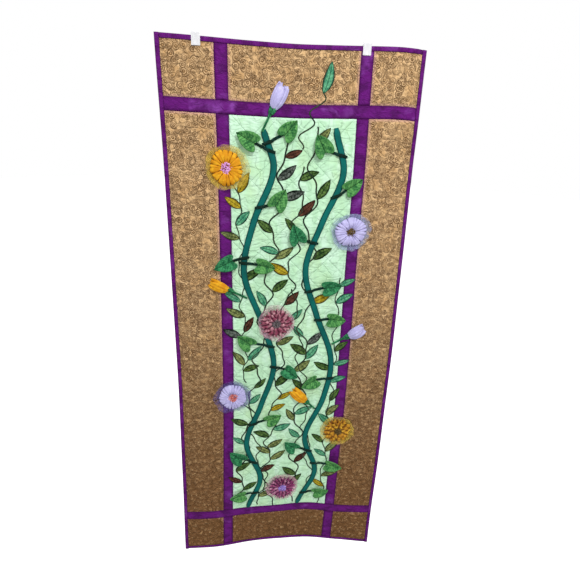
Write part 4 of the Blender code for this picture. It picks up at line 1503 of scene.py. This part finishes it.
class HANGING_OT_applique(bpy.types.Operator):
    """Stitch the thin stems and the flat leaves that grow along them"""
    bl_idname = "hanging.applique"
    bl_label = "Flat leaves"
    bl_options = {"REGISTER", "UNDO"}

    def execute(self, context):
        noise.seed_set(STITCH_SEED)
        sizes = context.scene.hanging_sizes
        for number, stem in enumerate(STEMS, 1):
            bm = start()
            stitched_stem(bm, [stem_place(stem, share) for share in steps(0.0, 1.0, 190)], stem[-1])
            piece(f"stitched_stem_{number}", bm, [stem_thread()])
        top_across, top_down, foot_across, foot_down = LONG_STEM
        places = [(top_across + (foot_across - top_across) * t + 0.013 * math.sin(4.6 * math.pi * t),
                   top_down + 0.062 + (foot_down - top_down - 0.062) * t) for t in steps(0.0, 1.0, 44)]
        bm = start()
        stitched_stem(bm, places, 0.0038)
        piece("long_stitched_stem", bm, [stem_thread()])
        spots = leaf_spots(random.Random(sizes.leaf_seed))
        for print_name in sorted(set(LEAF_PRINTS)):
            leaves = [spot for spot in spots if spot[-1] == print_name]
            bm = start()
            for stem, share, heading, length, width, _ in leaves:
                flat_leaf(bm, *stem_place(stem, share), heading, length, width, 0.10 * math.sin(heading))
            if print_name == "jade":
                flat_leaf(bm, *places[0], 14.0, *LONG_LEAF, 0.14)
            made = piece(f"flat_leaves_{print_name}", bm, [leaf_cloth(print_name)])
        return {"FINISHED"}


class HANGING_OT_flowers(bpy.types.Operator):
    """Gather the six flowers, each with its net and its tuft of thread"""
    bl_idname = "hanging.flowers"
    bl_label = "Flowers"
    bl_options = {"REGISTER", "UNDO"}

    def execute(self, context):
        dice = random.Random(11)
        for row in FLOWERS:
            make_flower(*row, dice)
        return {"FINISHED"}


class HANGING_OT_buds(bpy.types.Operator):
    """Roll the four buds and fold their calyxes"""
    bl_idname = "hanging.buds"
    bl_label = "Buds"
    bl_options = {"REGISTER", "UNDO"}

    def execute(self, context):
        for row in BUDS:
            rolled_bud(*row)
        return {"FINISHED"}


class HANGING_OT_clips(bpy.types.Operator):
    """Put the two white clips on the top edge"""
    bl_idname = "hanging.clips"
    bl_label = "Clips"
    bl_options = {"REGISTER", "UNDO"}

    def execute(self, context):
        for name in ("clip_left", "clip_right"):
            mould_clip(name)
        return {"FINISHED"}


class HANGING_OT_stage(bpy.types.Operator):
    """Set the pale floor, the soft lights and the camera"""
    bl_idname = "hanging.stage"
    bl_label = "Stage"
    bl_options = {"REGISTER", "UNDO"}

    def execute(self, context):
        pale_floor()
        soft_lights()
        front_camera()
        return {"FINISHED"}


FLOOR_RADIUS = 14.0
FLOOR_DOWN = 2.05         # under the hanging's top edge


def pale_floor():
    """A wide plain floor well under the hem."""
    bm = bmesh.new()
    bmesh.ops.create_circle(bm, cap_ends=True, segments=96, radius=FLOOR_RADIUS)
    bmesh.ops.translate(bm, verts=bm.verts, vec=(0.0, 0.0, -FLOOR_DOWN))
    mesh = bpy.data.meshes.new("floor")
    bm.to_mesh(mesh)
    bm.free()
    floor = bpy.data.objects.new("floor", mesh)
    bpy.context.scene.collection.objects.link(floor)
    paint = bpy.data.materials.new("pale_floor")
    paint.use_nodes = True
    tree = paint.node_tree
    shader = tree.nodes["Principled BSDF"]
    shader.inputs["Base Color"].default_value = (0.42, 0.42, 0.42, 1.0)
    shader.inputs["Roughness"].default_value = 0.9
    shader.inputs["Emission Color"].default_value = (1.0, 1.0, 1.0, 1.0)
    seen = add(tree, "LightPath").outputs["Is Camera Ray"]
    feed(tree, shader.inputs["Emission Strength"], maths(tree, "MULTIPLY", seen, 0.85))
    mesh.materials.append(paint)


# (name, place, aim, size, power) of each soft light
LIGHTS = (
    ("key", (0.35, -1.60, 0.90), (0.0, 0.0, -0.50), 0.40, 20.5),
    ("back", (0.40, 2.00, 0.80), (0.0, 0.0, -0.80), 1.6, 22.0),
)


def soft_lights():
    """One soft lamp at the upper right, one behind, and a pale room that is brighter above."""
    for name, place, aim, size, power in LIGHTS:
        light = bpy.data.lights.new(name, "AREA")
        light.shape = "DISK"
        light.size = size
        light.energy = power
        lamp = bpy.data.objects.new(name, light)
        lamp.location = place
        lamp.rotation_euler = (Vector(aim) - Vector(place)).to_track_quat("-Z", "Y").to_euler()
        bpy.context.scene.collection.objects.link(lamp)
    world = bpy.data.worlds.new("studio")
    world.use_nodes = True
    tree = world.node_tree
    background = tree.nodes["Background"]
    background.inputs["Color"].default_value = (1.0, 1.0, 1.0, 1.0)
    upward = add(tree, "SeparateXYZ", {"Vector": add(tree, "TexCoord").outputs["Generated"]}).outputs["Z"]
    glow = maths(tree, "MULTIPLY_ADD", upward, 0.50, 0.76)
    seen = add(tree, "LightPath").outputs["Is Camera Ray"]
    feed(tree, background.inputs["Strength"], maths(tree, "MAXIMUM", glow, seen))
    bpy.context.scene.world = world
    bpy.context.scene.view_settings.view_transform = "Standard"


CAMERA_PLACE = (-0.165, -1.227, -0.174)
CAMERA_LENS, CAMERA_SENSOR = 27.93, 36.0          # focal length and sensor, in mm
CAMERA_YAW, CAMERA_DIP, CAMERA_ROLL = (math.radians(a) for a in (8.12, 20.91, 2.29))


def front_camera():
    """Near the top of the hanging and a little to its left, looking down at it."""
    lens = bpy.data.cameras.new("camera")
    lens.lens = CAMERA_LENS
    lens.sensor_width = CAMERA_SENSOR
    camera = bpy.data.objects.new("camera", lens)
    ahead = Vector((math.sin(CAMERA_YAW) * math.cos(CAMERA_DIP),
                    math.cos(CAMERA_YAW) * math.cos(CAMERA_DIP), -math.sin(CAMERA_DIP)))
    level = Vector((math.cos(CAMERA_YAW), -math.sin(CAMERA_YAW), 0.0))
    above = level.cross(ahead)
    right = math.cos(CAMERA_ROLL) * level + math.sin(CAMERA_ROLL) * above
    up = math.cos(CAMERA_ROLL) * above - math.sin(CAMERA_ROLL) * level
    turned = Matrix((right, up, -ahead)).transposed().to_4x4()
    camera.matrix_world = Matrix.Translation(CAMERA_PLACE) @ turned
    bpy.context.scene.collection.objects.link(camera)
    bpy.context.scene.camera = camera


OPERATORS = (HANGING_OT_stage, HANGING_OT_top, HANGING_OT_backing, HANGING_OT_binding, HANGING_OT_vines,
             HANGING_OT_leaves, HANGING_OT_applique, HANGING_OT_flowers, HANGING_OT_buds, HANGING_OT_clips)


class HANGING_PT_maker(bpy.types.Panel):
    """Sizes, colours and the pieces of the hanging"""
    bl_idname = "HANGING_PT_maker"
    bl_label = "Quilted wall hanging"
    bl_space_type = "VIEW_3D"
    bl_region_type = "UI"
    bl_category = "Hanging"

    def draw(self, context):
        for group in (context.scene.hanging_sizes, context.scene.hanging_colours):
            for name in group.__annotations__:
                self.layout.prop(group, name)
        for made in OPERATORS:
            self.layout.operator(made.bl_idname)


CLASSES = (HangingSizes, HangingColours, *OPERATORS, HANGING_PT_maker)


def register():
    for made in CLASSES:
        bpy.utils.register_class(made)
    bpy.types.Scene.hanging_sizes = PointerProperty(type=HangingSizes)
    bpy.types.Scene.hanging_colours = PointerProperty(type=HangingColours)


def unregister():
    del bpy.types.Scene.hanging_colours
    del bpy.types.Scene.hanging_sizes
    for made in reversed(CLASSES):
        bpy.utils.unregister_class(made)


def main():
    register()
    for made in OPERATORS:
        group, name = made.bl_idname.split(".")
        getattr(getattr(bpy.ops, group), name)()
    bpy.context.view_layer.update()


if __name__ == "__main__":
    main()
